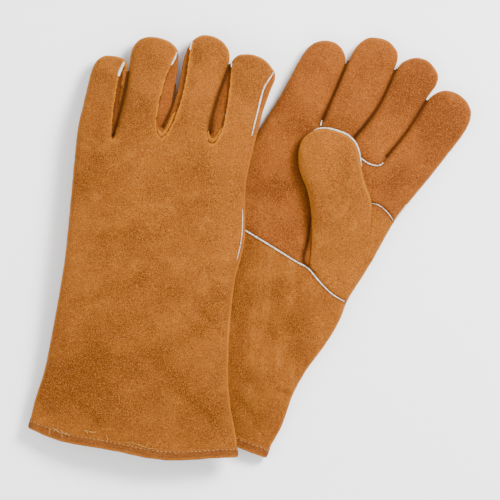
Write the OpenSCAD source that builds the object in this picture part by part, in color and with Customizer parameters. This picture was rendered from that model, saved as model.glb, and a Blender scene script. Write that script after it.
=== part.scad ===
// A pair of leather gauntlet gloves lying flat. The right glove lies palm up on the floor, with its
// thumb folded over the palm. The left glove lies back up on top of it, with its thumb underneath.
// +Z is up and Z = 0 is the floor. Each glove is drawn in its own frame: X runs toward the index
// finger, Y toward the fingertips, and the cuff starts near Y = 0.

/* [Leather] */
// Thickness of the leather
leather = 1.8; // [1.4:0.1:2.0]
// Thickness of the cotton lining
lining = 1.2; // [0.8:0.1:1.4]
// Gap between two pieces that lie against each other
fit = 0.2; // [0.1:0.05:0.3]

/* [Seams] */
// Width of the welt in a seam
welt_w = 1.6; // [1.2:0.1:2.0]
// Height of a welt above the leather
welt_h = 0.6; // [0.4:0.1:0.8]
// Width of the bound edge round the mouth of the cuff
hem_w = 7.5; // [6:0.5:9]
// Thickness of the bound edge
hem_t = 3.6; // [3.2:0.2:4]
// Length of a stitch
stitch_l = 2.4; // [1.8:0.1:2.8]
// Distance from one stitch to the next
stitch_pitch = 3.6; // [3.2:0.1:4.5]

/* [Height] */
// Thickness of a glove at the mouth of its cuff
cuff_t = 15.5; // [13:0.5:17]
// Thickness of a hand
hand_t = 20; // [18:0.5:20.5]
// Thickness of a fingertip
tip_t = 18; // [16:0.5:19]
// Height of the left palm above the floor
left_palm_z = 25.5; // [25.5:0.5:28]
// Height of the underside of the left cuff's mouth
left_cuff_z = 17.5; // [17.5:0.5:20]
// Height of the underside of the left fingertips
left_tip_z = 12; // [10:0.5:16]

/* [Fingers] */
// Distance from the root of a finger to the crease where it bends
crease = 20; // [18:1:24]
// Open width of that crease
crease_gap = 0.8; // [0.6:0.1:1.2]

/* [Hidden] */

LEFT = 0;
RIGHT = 1;
LITTLE = 0;
RING = 1;
MIDDLE = 2;
INDEX = 3;

hide_color = "peru";
front_color = "chocolate";
welt_color = "whitesmoke";
cotton_color = "linen";
thread_color = "gold";

// Where each glove's own origin lies on the floor, and how far the glove leans clockwise
place = [[-97.2, -160.6, 6.5], [-59.5, -140.5, 25]];

// Little-finger edge, from the cuff up to the root of the little finger
edge_little = [
    [[-86, 22], [-80.5, 50], [-77, 90], [-74.5, 130], [-74, 160], [-75, 210], [-75.5, 252]],
    [[-75, 20], [-70, 80], [-60, 125], [-52, 166], [-44, 210], [-39, 252]],
];
// Index edge, from the cuff up to the root of the index finger
edge_index = [
    [[86, 12], [79, 32], [73, 63], [70, 100], [69, 140], [72, 180], [71.5, 205], [70, 252]],
    [[81, 12], [83, 30], [80, 56], [81.5, 80], [87, 108], [90, 130], [93, 170], [95, 200], [101, 245]],
];
// Mouth of the cuff, from the little-finger edge to the index edge
mouth = [
    [[-88, 0], [-55, -8], [-16, -11], [28, -14], [60, -10], [88, -4]],
    [[-77, -5], [-40, -7.5], [0, -7.5], [40, -4], [81, -1]],
];
// Seam between the cuff front and the palm, from the little-finger edge to the index edge
cuff_seam = [
    [[-95, 166], [-31, 165], [14, 160], [40, 152], [95, 138]],
    [[-75, 166], [-10, 165], [35, 160], [60, 152], [115, 138]],
];
// Seam round the root of the two middle fingers, from crotch to crotch
finger_seam = [
    [[-44.7, 252], [-40, 247], [-5, 242], [25, 239], [32, 247], [37.4, 254]],
    [[5, 273], [10, 269], [46, 260.5], [55, 259], [62, 260.5], [67.3, 267]],
];

// Root point X and Y, lean, length, half width at the root, at the waist and near the tip
finger = [
    [
        [-60.7, 252, 4, 66, 14.4, 13.5, 13],
        [-26, 256, 5.4, 82, 17, 14.5, 17.5],
        [16.8, 257, 9.3, 87, 16, 14.5, 16.5],
        [56, 256, 7.1, 76, 14, 13.2, 16.5],
    ],
    [
        [-16.5, 273, 2.4, 68, 20.3, 19.2, 17.5],
        [20.8, 273, 3.1, 86, 14.8, 16, 18.6],
        [52.4, 271, 6.8, 88, 14.6, 15, 16.6],
        [86.8, 268, 10.6, 77, 18.2, 17.2, 16.4],
    ],
];
thumb = [[45, 173, -50, 98, 24, 24, 22], [66, 181, -31, 105, 25, 25.5, 23]];
// Where each thumb starts, measured along it from its root point
thumb_start = [30, 7];
// The hole between a hand and its thumb: its width, and how far it runs back and forward of the root
hole_w = 34;
hole_back = 7;
hole_front = 5;

// Share of the length of a finger where its waist is, and where its tip starts to round
waist_at = 0.4;
broad_at = 0.78;

// Heights along Y of the underside and of the upper side of each glove
low = [
    [[-40, left_cuff_z], [0, left_cuff_z], [140, left_palm_z], [420, left_palm_z]],
    [[-40, 0], [0, 0], [140, 0], [420, 0]],
];
high = [
    [[-40, left_cuff_z + cuff_t], [0, left_cuff_z + cuff_t], [140, left_palm_z + hand_t],
        [420, left_palm_z + hand_t]],
    [[-40, cuff_t], [0, cuff_t], [140, hand_t], [420, hand_t]],
];
palm_z = [left_palm_z, 0];
tip_z = [left_tip_z, 0];

// Everything that is cut by a slab is drawn taller and wider than the gloves first
tall = 70;
reach = 130;
past = 8;
seam_w = welt_w + 2 * fit;
lining_at = leather + fit;
inside_at = lining_at + lining;

// ---- Helpers ----

function flip(points) = [for (i = [len(points) - 1 : -1 : 0]) points[i]];
function shifted(points, by) = [for (p = points) p + by];
function raised(level, by) = shifted(level, [0, by]);
function halfway(under, over) = [for (i = [0 : len(under) - 1]) (under[i] + over[i]) / 2];

// A point given in a finger's own frame, in the frame of its glove
function from_finger(f, p) = [
    f.x + p.x * cos(f[2]) + p.y * sin(f[2]),
    f.y - p.x * sin(f[2]) + p.y * cos(f[2])
];

function half_w(f, y) = lookup(y, [[0, f[4]], [f[3] * waist_at, f[5]], [f[3] * broad_at, f[6]]]);

// Blunt rounding: squarer than a circle for a power below 1
function blunt(v) = sign(v) * pow(abs(v), 0.75);

// Outline of a finger from a distance y0 along it to its tip, moved inward by inset
function finger_outline(f, y0, inset) =
    let (
        waist = f[3] * waist_at,
        broad = f[3] * broad_at,
        side = [[half_w(f, y0) - inset, y0], if (y0 < waist) [f[5] - inset, waist]],
        tip = [for (a = [0 : 15 : 180])
            [(f[6] - inset) * blunt(cos(a)), broad + (f[3] - inset - broad) * sin(a)]]
    )
    concat(side, tip, flip([for (p = side) [-p.x, p.y]]));

// The corner of a cuff, slid by a distance along the edge line that starts there
function slid(corner, next, by) =
    [corner.x + (next.x - corner.x) * by / (next.y - corner.y), corner.y + by];

// Mouth of the cuff with its corners moved inward by inset, and all of it moved up by a distance
function mouth_line(g, inset, by) =
    let (
        last = len(mouth[g]) - 1,
        little_corner = slid(mouth[g][0], edge_little[g][0], by),
        index_corner = slid(mouth[g][last], edge_index[g][0], by)
    )
    concat(
        [little_corner + [inset, 0]],
        [for (i = [1 : last - 1]) mouth[g][i] + [0, by]],
        [index_corner - [inset, 0]]
    );

// Outline of the cuff and the hand with the roots of the fingers, moved inward by inset. The open
// ends, at the mouth and at the creases, are lengthened by over, and the mouth is moved up by rise.
function hand_outline(g, inset, over, rise) =
    let (
        stubs = [for (i = [LITTLE : INDEX]) let (f = finger[g][i], w0 = half_w(f, 0) - inset,
                w1 = half_w(f, crease) - inset) [
            if (i > LITTLE) from_finger(f, [-w0, -inset]),
            from_finger(f, [-w1, crease + over]),
            from_finger(f, [w1, crease + over]),
            if (i < INDEX) from_finger(f, [w0, -inset]),
        ]]
    )
    concat(
        mouth_line(g, inset, rise - over),
        [for (p = edge_index[g]) [p.x - inset, p.y]],
        flip([for (stub = stubs) each stub]),
        flip([for (p = edge_little[g]) [p.x + inset, p.y]])
    );

module block(points) {
    translate([0, 0, -past]) linear_extrude(tall + past) polygon(points);
}

// Everything between two heights, each a list of points along Y
module between(under, over) {
    translate([-reach, 0, 0]) rotate([90, 0, 90]) linear_extrude(2 * reach)
        polygon(concat(under, flip(over)));
}

module on_glove(g) {
    translate([place[g].x, place[g].y, 0]) rotate([0, 0, -place[g][2]]) children();
}

module in_finger(f) {
    translate([f.x, f.y, 0]) rotate([0, 0, -f[2]]) children();
}

// ---- Hand and cuff ----

module hand_solid(g, inset, over, rise, under, top) {
    intersection() {
        block(hand_outline(g, inset, over, rise));
        between(under, top);
    }
}

// The leather of one side: its sheet, and half of the walls along the two long edges
module hand_half(g, upper) {
    middle = halfway(low[g], high[g]);
    gap = welt_w / 2 + fit;
    rise = hem_w + fit;
    difference() {
        if (upper) hand_solid(g, 0, 0, rise, raised(middle, gap), high[g]);
        else hand_solid(g, 0, 0, rise, low[g], raised(middle, -gap));
        if (upper) hand_solid(g, leather, past, rise, low[g], raised(high[g], -leather));
        else hand_solid(g, leather, past, rise, raised(low[g], leather), high[g]);
        for (i = [LITTLE : MIDDLE])
            intersection() {
                block(crotch_zone(g, i, fit));
                between(raised(low[g], leather), raised(high[g], -leather));
            }
    }
}

// Ground plan of the forchette between finger i and the next one
function crotch_zone(g, i, grow) =
    let (
        a = finger[g][i],
        b = finger[g][i + 1],
        depth = leather + grow
    ) [
        from_finger(a, [half_w(a, crease) - depth, crease + past]),
        from_finger(a, [half_w(a, 0) - depth, -depth]),
        from_finger(b, [-half_w(b, 0) + depth, -depth]),
        from_finger(b, [-half_w(b, crease) + depth, crease + past]),
    ];

// The front is the palm side: the upper one on the right glove, the lower one on the left glove
module hand_front(g) hand_half(g, g == RIGHT);

module back_panel(g) hand_half(g, g == LEFT);

function cuff_zone(g, by) = concat([[-reach, -60], [reach, -60]], flip(shifted(cuff_seam[g], [0, by])));

function two_finger_zone(g, grow) =
    let (
        seam = shifted(finger_seam[g], [0, -grow]),
        last = seam[len(seam) - 1],
        out = 2 * crease,
        aside = [grow / 2, 0]
    )
    concat([seam[0] - aside], seam, [
        last + aside,
        last + aside + [out * sin(finger[g][MIDDLE][2]), out],
        seam[0] - aside + [out * sin(finger[g][RING][2]), out],
    ]);

// Opening between the hand and the thumb, in the frame of the thumb
module thumb_hole() {
    translate([-hole_w / 2, -hole_back, -past]) cube([hole_w, hole_back + hole_front, tall + past]);
}

module palm_panel(g) {
    difference() {
        hand_front(g);
        block(cuff_zone(g, seam_w));
        block(two_finger_zone(g, seam_w));
        in_finger(thumb[g]) thumb_hole();
    }
}

module two_finger_front(g) {
    intersection() {
        hand_front(g);
        block(two_finger_zone(g, 0));
    }
}

module cuff_front(g) {
    intersection() {
        hand_front(g);
        block(cuff_zone(g, 0));
    }
}

module forchettes(g) {
    for (i = [LITTLE : MIDDLE])
        intersection() {
            difference() {
                block(hand_outline(g, 0, 0, hem_w));
                block(hand_outline(g, leather, past, hem_w));
            }
            block(crotch_zone(g, i, fit / 4));
            between(raised(low[g], leather + fit), raised(high[g], -leather - fit));
        }
}

// A strip along a line of points, between two heights
module strip(points, w, under, top) {
    intersection() {
        block(concat(points, flip(shifted(points, w))));
        between(under, top);
    }
}

module seam_welts(g) {
    middle = halfway(low[g], high[g]);
    under = raised(middle, -welt_w / 2);
    top = raised(middle, welt_w / 2);
    deep = leather + welt_h;
    strip(shifted(edge_little[g], [-welt_h, 0]), [deep, 0], under, top);
    strip(shifted(edge_index[g], [welt_h, 0]), [-deep, 0], under, top);
    face_under = g == RIGHT ? raised(high[g], -leather) : raised(low[g], -welt_h);
    face_top = g == RIGHT ? raised(high[g], welt_h) : raised(low[g], leather);
    intersection() {
        union() {
            strip(shifted(cuff_seam[g], [0, fit]), [0, welt_w], face_under, face_top);
            strip(shifted(finger_seam[g], [0, -fit]), [0, -welt_w], face_under, face_top);
        }
        block(hand_outline(g, leather + fit, 0, hem_w));
    }
}

// A closed tube of cotton with open ends inside the leather
module cotton(g) {
    difference() {
        hand_solid(g, lining_at, 0, hem_w + fit, raised(low[g], lining_at), raised(high[g], -lining_at));
        hand_solid(g, inside_at, past, hem_w, raised(low[g], inside_at), raised(high[g], -inside_at));
    }
}

module hand_lining(g) {
    difference() {
        cotton(g);
        block(cuff_zone(g, fit));
        intersection() {
            in_finger(thumb[g]) thumb_hole();
            if (g == RIGHT) between(halfway(low[g], high[g]), raised(high[g], past));
            else between(raised(low[g], -past), halfway(low[g], high[g]));
        }
    }
}

module cuff_lining(g) {
    intersection() {
        cotton(g);
        block(cuff_zone(g, 0));
    }
}

module cuff_hem(g) {
    intersection() {
        difference() {
            hand_solid(g, 0, 0, 0, low[g], high[g]);
            hand_solid(g, hem_t, past, 0, raised(low[g], hem_t), raised(high[g], -hem_t));
        }
        block(concat(shifted(mouth[g], [0, -1]), flip(shifted(mouth[g], [0, hem_w]))));
    }
}

module hem_stitching(g) {
    first = mouth[g][0].x + stitch_pitch;
    last = mouth[g][len(mouth[g]) - 1].x - stitch_pitch;
    thread = 0.7;
    for (x = [first : stitch_pitch : last]) {
        y = lookup(x, mouth[g]) + hem_w * 0.7;
        slope = atan(lookup(x + 1, mouth[g]) - lookup(x, mouth[g]));
        translate([x, y, lookup(y, high[g]) + 0.05]) rotate([0, 0, slope])
            translate([-stitch_l / 2, -thread / 2, 0]) cube([stitch_l, thread, thread]);
    }
}

// ---- Fingers ----

// Heights along a finger, level as far as its crease and then lower toward its tip
function finger_low(g, i) = [[0, palm_z[g]], [crease, palm_z[g]], [finger[g][i][3] + past, tip_z[g]]];
function finger_high(g, i) = [
    [0, palm_z[g] + hand_t],
    [crease, palm_z[g] + hand_t],
    [finger[g][i][3] + past, tip_z[g] + tip_t]
];

module finger_solid(g, i, inset, y0, under, top) {
    intersection() {
        block(finger_outline(finger[g][i], y0, inset));
        between(under, top);
    }
}

// The wall round a finger, open at the root
module finger_wall(g, i, under, top) {
    start = crease + crease_gap;
    difference() {
        finger_solid(g, i, 0, start, under, top);
        finger_solid(g, i, leather, start - past, raised(under, -1), raised(top, 1));
    }
}

// The free edge of the little and the index finger, where back and front meet with no strip between
module free_edge(g, i, grow) {
    f = finger[g][i];
    side = i == LITTLE ? -1 : 1;
    x0 = side * (f[6] - 6 - grow);
    y1 = f[3] * broad_at + 4 + grow;
    block([[x0, 0], [side * 40, 0], [side * 40, y1], [x0, y1]]);
}

// One side of a finger: its sheet, and half of the wall along a free edge
module finger_half(g, i, upper) {
    under = finger_low(g, i);
    top = finger_high(g, i);
    middle = halfway(under, top);
    in_finger(finger[g][i]) {
        if (upper) finger_solid(g, i, 0, crease + crease_gap, raised(top, -leather), top);
        else finger_solid(g, i, 0, crease + crease_gap, under, raised(under, leather));
        if (i == LITTLE || i == INDEX)
            intersection() {
                if (upper) finger_wall(g, i, raised(middle, fit / 2), top);
                else finger_wall(g, i, under, raised(middle, -fit / 2));
                free_edge(g, i, 0);
            }
    }
}

module finger_back(g, i) finger_half(g, i, g == LEFT);

module finger_front(g, i) finger_half(g, i, g == RIGHT);

module finger_sides(g, i) {
    sheet = leather + fit;
    in_finger(finger[g][i])
        difference() {
            finger_wall(g, i, raised(finger_low(g, i), sheet), raised(finger_high(g, i), -sheet));
            if (i == LITTLE || i == INDEX) free_edge(g, i, fit);
        }
}

module finger_lining(g, i) {
    under = finger_low(g, i);
    top = finger_high(g, i);
    start = crease + crease_gap;
    in_finger(finger[g][i])
        difference() {
            finger_solid(g, i, lining_at, start, raised(under, lining_at), raised(top, -lining_at));
            finger_solid(g, i, inside_at, start - past, raised(under, inside_at), raised(top, -inside_at));
        }
}

// ---- Thumbs ----

// The left thumb is pressed flat at its root, where it lies between its own palm and the right glove
sleeve_t = 3.6;
thumb_top = [left_palm_z - welt_h - 0.3, 2 * hand_t + fit];
thumb_low = [
    [[-30, thumb_top[LEFT] - sleeve_t], [30, thumb_top[LEFT] - sleeve_t], [48, 5], [120, 1]],
    [[-30, hand_t + fit], [30, hand_t + fit], [48, hand_t + fit], [120, hand_t + fit + 1]],
];
thumb_high = [
    [[-30, thumb_top[LEFT]], [30, thumb_top[LEFT]], [48, thumb_top[LEFT]], [120, thumb_top[LEFT] - 2]],
    [[-30, thumb_top[RIGHT]], [30, thumb_top[RIGHT]], [48, thumb_top[RIGHT]], [120, thumb_top[RIGHT] - 3]],
];
thumb_leather = [1.2, leather];

module thumb_solid(g, inset, y0, under, top) {
    intersection() {
        block(finger_outline(thumb[g], y0, inset));
        between(under, top);
    }
}

module thumb_half(g, upper) {
    middle = halfway(thumb_low[g], thumb_high[g]);
    wall = thumb_leather[g];
    start = thumb_start[g];
    in_finger(thumb[g])
        difference() {
            if (upper) thumb_solid(g, 0, start, raised(middle, fit / 2), thumb_high[g]);
            else thumb_solid(g, 0, start, thumb_low[g], raised(middle, -fit / 2));
            thumb_solid(g, wall, start - past, raised(thumb_low[g], wall), raised(thumb_high[g], -wall));
        }
}

// A thumb folded on its palm shows its back: the upper side on the right glove
module thumb_back(g) thumb_half(g, g == RIGHT);

module thumb_front(g) thumb_half(g, g == LEFT);

// The cotton starts where the thumb is thick enough to hold it
module thumb_lining(g) {
    start = g == LEFT ? 44 : thumb_start[g];
    wall = thumb_leather[g] + fit;
    in_finger(thumb[g])
        difference() {
            thumb_solid(g, wall, start, raised(thumb_low[g], wall), raised(thumb_high[g], -wall));
            thumb_solid(g, wall + lining, start - past, raised(thumb_low[g], wall + lining),
                raised(thumb_high[g], -wall - lining));
        }
}

// Sleeve from the hole in the palm to the thumb: closed round its root, open toward the thumb and,
// through the hole, toward the hand
module thumb_base(g) {
    wall = thumb_leather[g];
    root = -13;
    end = thumb_start[g] - crease_gap;
    w = half_w(thumb[g], 0);
    in_finger(thumb[g])
        difference() {
            intersection() {
                block([[2 - w, root], [w - 2, root], [w, 0], [w, end], [-w, end], [-w, 0]]);
                between(thumb_low[g], thumb_high[g]);
            }
            intersection() {
                block([[2 - w + wall, root + wall], [w - wall - 2, root + wall], [w - wall, 0],
                    [w - wall, end + past], [wall - w, end + past], [wall - w, 0]]);
                between(raised(thumb_low[g], wall), raised(thumb_high[g], -wall));
            }
            intersection() {
                thumb_hole();
                if (g == RIGHT) between(raised(thumb_low[g], -past), halfway(thumb_low[g], thumb_high[g]));
                else between(halfway(thumb_low[g], thumb_high[g]), raised(thumb_high[g], past));
            }
        }
}

// ---- Nodes ----

module right_back_panel() color(hide_color) on_glove(RIGHT) back_panel(RIGHT);
module right_palm_panel() color(front_color) on_glove(RIGHT) palm_panel(RIGHT);
module right_two_finger_front() color(front_color) on_glove(RIGHT) two_finger_front(RIGHT);
module right_cuff_front() color(front_color) on_glove(RIGHT) cuff_front(RIGHT);
module right_forchettes() color(hide_color) on_glove(RIGHT) forchettes(RIGHT);
module right_seam_welts() color(welt_color) on_glove(RIGHT) seam_welts(RIGHT);
module right_hand_lining() color(cotton_color) on_glove(RIGHT) hand_lining(RIGHT);
module right_cuff_lining() color(cotton_color) on_glove(RIGHT) cuff_lining(RIGHT);
module right_cuff_hem() color(hide_color) on_glove(RIGHT) cuff_hem(RIGHT);
module right_hem_stitching() color(thread_color) on_glove(RIGHT) hem_stitching(RIGHT);
module right_thumb_base() color(front_color) on_glove(RIGHT) thumb_base(RIGHT);
module right_thumb_back() color(front_color) on_glove(RIGHT) thumb_back(RIGHT);
module right_thumb_front() color(front_color) on_glove(RIGHT) thumb_front(RIGHT);
module right_thumb_lining() color(cotton_color) on_glove(RIGHT) thumb_lining(RIGHT);
module right_index_back() color(hide_color) on_glove(RIGHT) finger_back(RIGHT, INDEX);
module right_index_front() color(front_color) on_glove(RIGHT) finger_front(RIGHT, INDEX);
module right_index_sides() color(hide_color) on_glove(RIGHT) finger_sides(RIGHT, INDEX);
module right_index_lining() color(cotton_color) on_glove(RIGHT) finger_lining(RIGHT, INDEX);
module right_middle_back() color(hide_color) on_glove(RIGHT) finger_back(RIGHT, MIDDLE);
module right_middle_front() color(front_color) on_glove(RIGHT) finger_front(RIGHT, MIDDLE);
module right_middle_sides() color(hide_color) on_glove(RIGHT) finger_sides(RIGHT, MIDDLE);
module right_middle_lining() color(cotton_color) on_glove(RIGHT) finger_lining(RIGHT, MIDDLE);
module right_ring_back() color(hide_color) on_glove(RIGHT) finger_back(RIGHT, RING);
module right_ring_front() color(front_color) on_glove(RIGHT) finger_front(RIGHT, RING);
module right_ring_sides() color(hide_color) on_glove(RIGHT) finger_sides(RIGHT, RING);
module right_ring_lining() color(cotton_color) on_glove(RIGHT) finger_lining(RIGHT, RING);
module right_little_back() color(hide_color) on_glove(RIGHT) finger_back(RIGHT, LITTLE);
module right_little_front() color(front_color) on_glove(RIGHT) finger_front(RIGHT, LITTLE);
module right_little_sides() color(hide_color) on_glove(RIGHT) finger_sides(RIGHT, LITTLE);
module right_little_lining() color(cotton_color) on_glove(RIGHT) finger_lining(RIGHT, LITTLE);
module left_back_panel() color(hide_color) on_glove(LEFT) back_panel(LEFT);
module left_palm_panel() color(front_color) on_glove(LEFT) palm_panel(LEFT);
module left_two_finger_front() color(front_color) on_glove(LEFT) two_finger_front(LEFT);
module left_cuff_front() color(front_color) on_glove(LEFT) cuff_front(LEFT);
module left_forchettes() color(hide_color) on_glove(LEFT) forchettes(LEFT);
module left_seam_welts() color(welt_color) on_glove(LEFT) seam_welts(LEFT);
module left_hand_lining() color(cotton_color) on_glove(LEFT) hand_lining(LEFT);
module left_cuff_lining() color(cotton_color) on_glove(LEFT) cuff_lining(LEFT);
module left_cuff_hem() color(hide_color) on_glove(LEFT) cuff_hem(LEFT);
module left_hem_stitching() color(thread_color) on_glove(LEFT) hem_stitching(LEFT);
module left_thumb_base() color(front_color) on_glove(LEFT) thumb_base(LEFT);
module left_thumb_back() color(front_color) on_glove(LEFT) thumb_back(LEFT);
module left_thumb_front() color(front_color) on_glove(LEFT) thumb_front(LEFT);
module left_thumb_lining() color(cotton_color) on_glove(LEFT) thumb_lining(LEFT);
module left_index_back() color(hide_color) on_glove(LEFT) finger_back(LEFT, INDEX);
module left_index_front() color(front_color) on_glove(LEFT) finger_front(LEFT, INDEX);
module left_index_sides() color(hide_color) on_glove(LEFT) finger_sides(LEFT, INDEX);
module left_index_lining() color(cotton_color) on_glove(LEFT) finger_lining(LEFT, INDEX);
module left_middle_back() color(hide_color) on_glove(LEFT) finger_back(LEFT, MIDDLE);
module left_middle_front() color(front_color) on_glove(LEFT) finger_front(LEFT, MIDDLE);
module left_middle_sides() color(hide_color) on_glove(LEFT) finger_sides(LEFT, MIDDLE);
module left_middle_lining() color(cotton_color) on_glove(LEFT) finger_lining(LEFT, MIDDLE);
module left_ring_back() color(hide_color) on_glove(LEFT) finger_back(LEFT, RING);
module left_ring_front() color(front_color) on_glove(LEFT) finger_front(LEFT, RING);
module left_ring_sides() color(hide_color) on_glove(LEFT) finger_sides(LEFT, RING);
module left_ring_lining() color(cotton_color) on_glove(LEFT) finger_lining(LEFT, RING);
module left_little_back() color(hide_color) on_glove(LEFT) finger_back(LEFT, LITTLE);
module left_little_front() color(front_color) on_glove(LEFT) finger_front(LEFT, LITTLE);
module left_little_sides() color(hide_color) on_glove(LEFT) finger_sides(LEFT, LITTLE);
module left_little_lining() color(cotton_color) on_glove(LEFT) finger_lining(LEFT, LITTLE);

right_back_panel();
right_palm_panel();
right_two_finger_front();
right_cuff_front();
right_forchettes();
right_seam_welts();
right_hand_lining();
right_cuff_lining();
right_cuff_hem();
right_hem_stitching();
right_thumb_base();
right_thumb_back();
right_thumb_front();
right_thumb_lining();
right_index_back();
right_index_front();
right_index_sides();
right_index_lining();
right_middle_back();
right_middle_front();
right_middle_sides();
right_middle_lining();
right_ring_back();
right_ring_front();
right_ring_sides();
right_ring_lining();
right_little_back();
right_little_front();
right_little_sides();
right_little_lining();
left_back_panel();
left_palm_panel();
left_two_finger_front();
left_cuff_front();
left_forchettes();
left_seam_welts();
left_hand_lining();
left_cuff_lining();
left_cuff_hem();
left_hem_stitching();
left_thumb_base();
left_thumb_back();
left_thumb_front();
left_thumb_lining();
left_index_back();
left_index_front();
left_index_sides();
left_index_lining();
left_middle_back();
left_middle_front();
left_middle_sides();
left_middle_lining();
left_ring_back();
left_ring_front();
left_ring_sides();
left_ring_lining();
left_little_back();
left_little_front();
left_little_sides();
left_little_lining();
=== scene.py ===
import math

import bpy
import numpy as np
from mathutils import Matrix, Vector, noise
from mathutils.geometry import delaunay_2d_cdt


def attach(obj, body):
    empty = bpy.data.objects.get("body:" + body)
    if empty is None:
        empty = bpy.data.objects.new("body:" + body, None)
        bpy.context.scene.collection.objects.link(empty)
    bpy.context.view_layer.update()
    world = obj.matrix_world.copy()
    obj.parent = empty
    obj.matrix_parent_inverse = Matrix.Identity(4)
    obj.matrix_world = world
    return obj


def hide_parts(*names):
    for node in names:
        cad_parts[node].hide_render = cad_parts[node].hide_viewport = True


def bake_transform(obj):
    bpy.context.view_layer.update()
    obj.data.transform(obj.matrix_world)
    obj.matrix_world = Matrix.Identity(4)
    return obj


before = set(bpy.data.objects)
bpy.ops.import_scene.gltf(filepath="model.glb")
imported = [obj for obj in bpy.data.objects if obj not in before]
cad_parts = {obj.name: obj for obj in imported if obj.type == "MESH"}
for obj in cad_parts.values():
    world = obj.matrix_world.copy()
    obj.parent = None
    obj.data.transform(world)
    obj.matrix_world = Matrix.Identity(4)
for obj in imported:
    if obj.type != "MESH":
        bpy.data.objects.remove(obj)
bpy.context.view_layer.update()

# The pair of gloves is drawn in each glove's own frame, in millimetres: X runs toward the index finger,
# Y toward the fingertips, and the height Z is the same as in the frame. Outlines and seams are smooth
# lines through the points listed here.

MM = 0.001

# Where each glove's own origin lies, and how far the glove leans clockwise, in degrees
PLACE = {"left": (-97.2, -160.6, 6.5), "right": (-59.5, -140.5, 25.0)}
FINGERS = ("little", "ring", "middle", "index")
# Root point and lean of each finger
FINGER_AXES = {
    "left": ((-60.7, 252, 4.0), (-26, 256, 5.4), (16.8, 257, 9.3), (56, 256, 7.1)),
    "right": ((-16.5, 273, 2.4), (20.8, 273, 3.1), (52.4, 271, 6.8), (86.8, 268, 10.6)),
}
# Root point and lean of each thumb
THUMB_AXES = {"left": (45, 173, -50.0), "right": (66, 181, -31.0)}

# The silhouette, from the little-finger corner of the cuff, round the fingertips, to the other corner
SILHOUETTE = {
    "left": (
        (-88, 0), (-86, 22), (-80.5, 50), (-77, 90), (-74.5, 130), (-74, 160), (-75, 210), (-75.5, 252),
        (-73.5, 272), (-71.5, 290), (-69.5, 304), (-66, 313), (-60, 317.5), (-52, 318), (-45.5, 317),
        (-41.7, 314.5), (-39.6, 310), (-39.2, 303), (-39.6, 293), (-41.2, 279), (-43.5, 264),
        (-45.6, 251), (-43.2, 260),
        (-41.6, 270), (-39.9, 282), (-38.7, 294), (-38.6, 310), (-38.6, 322), (-35.5, 331), (-29, 336.3),
        (-20, 337.8), (-10, 336.2), (-4, 333.2), (-0.2, 329.2), (1.5, 324), (1.9, 315), (1.7, 302),
        (1, 291), (0.6, 283), (-0.9, 275), (-3.2, 268.5), (-4.9, 263.5), (-2.6, 268), (0.1, 274.5),
        (1.7, 282.5),
        (3, 289), (4.2, 297), (5.2, 310), (6.2, 323), (8.8, 333), (13, 340), (20, 344), (29, 343.8),
        (37, 340.3), (42.5, 334), (44.4, 327), (43.2, 318.5), (40.6, 308), (38, 295.5), (35.6, 282),
        (34.2, 271), (35, 262), (35, 270), (36.3, 281), (38.8, 294.5), (41.4, 306.5), (44.4, 318.5),
        (46.6, 325), (51, 330.3), (60, 332.3), (69, 331), (76, 327.2), (81.3, 321.8), (84, 316.8),
        (83.5, 311), (81.3, 304), (79.4, 296), (77.2, 286), (75.5, 274), (73.3, 260), (71, 241),
        (69.8, 226), (70.8, 210), (73, 190), (74, 175), (72, 158), (69.5, 140), (70, 100), (73, 63),
        (76.6, 42.5), (79.8, 30.5), (83.7, 18.5), (87.3, 3), (88, -4),
    ),
    "right": (
        (-77, -5), (-75, 20), (-70, 80), (-60, 125), (-52, 166), (-44, 210), (-39, 252), (-35.8, 279),
        (-34.8, 297), (-33.3, 319), (-30, 330), (-22.7, 337), (-13.3, 339.5), (-5, 337), (0.5, 331.5),
        (2.6, 323), (2.8, 311), (3.6, 297), (3.9, 285), (4.4, 275), (4.7, 285), (4.4, 297), (3.7, 311),
        (3.5, 322), (3.8, 334), (5.2, 345.5), (10.3, 354.7), (19, 358.7), (28.1, 359.4), (36.6, 355.4),
        (40.4, 349.6), (41.6, 341), (42.2, 330), (42.4, 319), (42, 307), (40.6, 295), (38, 283),
        (34.7, 272), (38.8, 283), (41.5, 295), (42.9, 307), (43.2, 319), (43.1, 331), (43.4, 341),
        (46, 349.5), (53.1, 356.4), (62.7, 358.6), (71, 356), (77.4, 350.5), (79, 343), (77.6, 335),
        (76.3, 328), (74.8, 313), (72.4, 296), (68.7, 281), (66.5, 270.5), (69.6, 281), (73.2, 296),
        (75.7, 313), (77.6, 327), (80.6, 335), (87.1, 341.8), (96.5, 344.2), (105.6, 342.5),
        (113.5, 337.4), (116.6, 331.5), (117.6, 324), (116.8, 314), (112.9, 296.4), (107, 271),
        (99.6, 243), (95.5, 223), (94, 206), (92.6, 185), (89.8, 163), (88, 146), (89, 130), (87, 108),
        (81.5, 80), (80, 56), (82.5, 30), (81.5, 12), (81, -1),
    ),
}
# The mouth of the cuff, from the index corner to the little-finger corner
MOUTH = {
    "left": ((88, -4), (69, -7), (44, -11.5), (17, -13.2), (-21, -9.8), (-53, -8.4), (-72, -5), (-88, 0)),
    "right": ((81, -1), (40, -4), (0, -7.5), (-40, -7.5), (-77, -5)),
}
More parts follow.
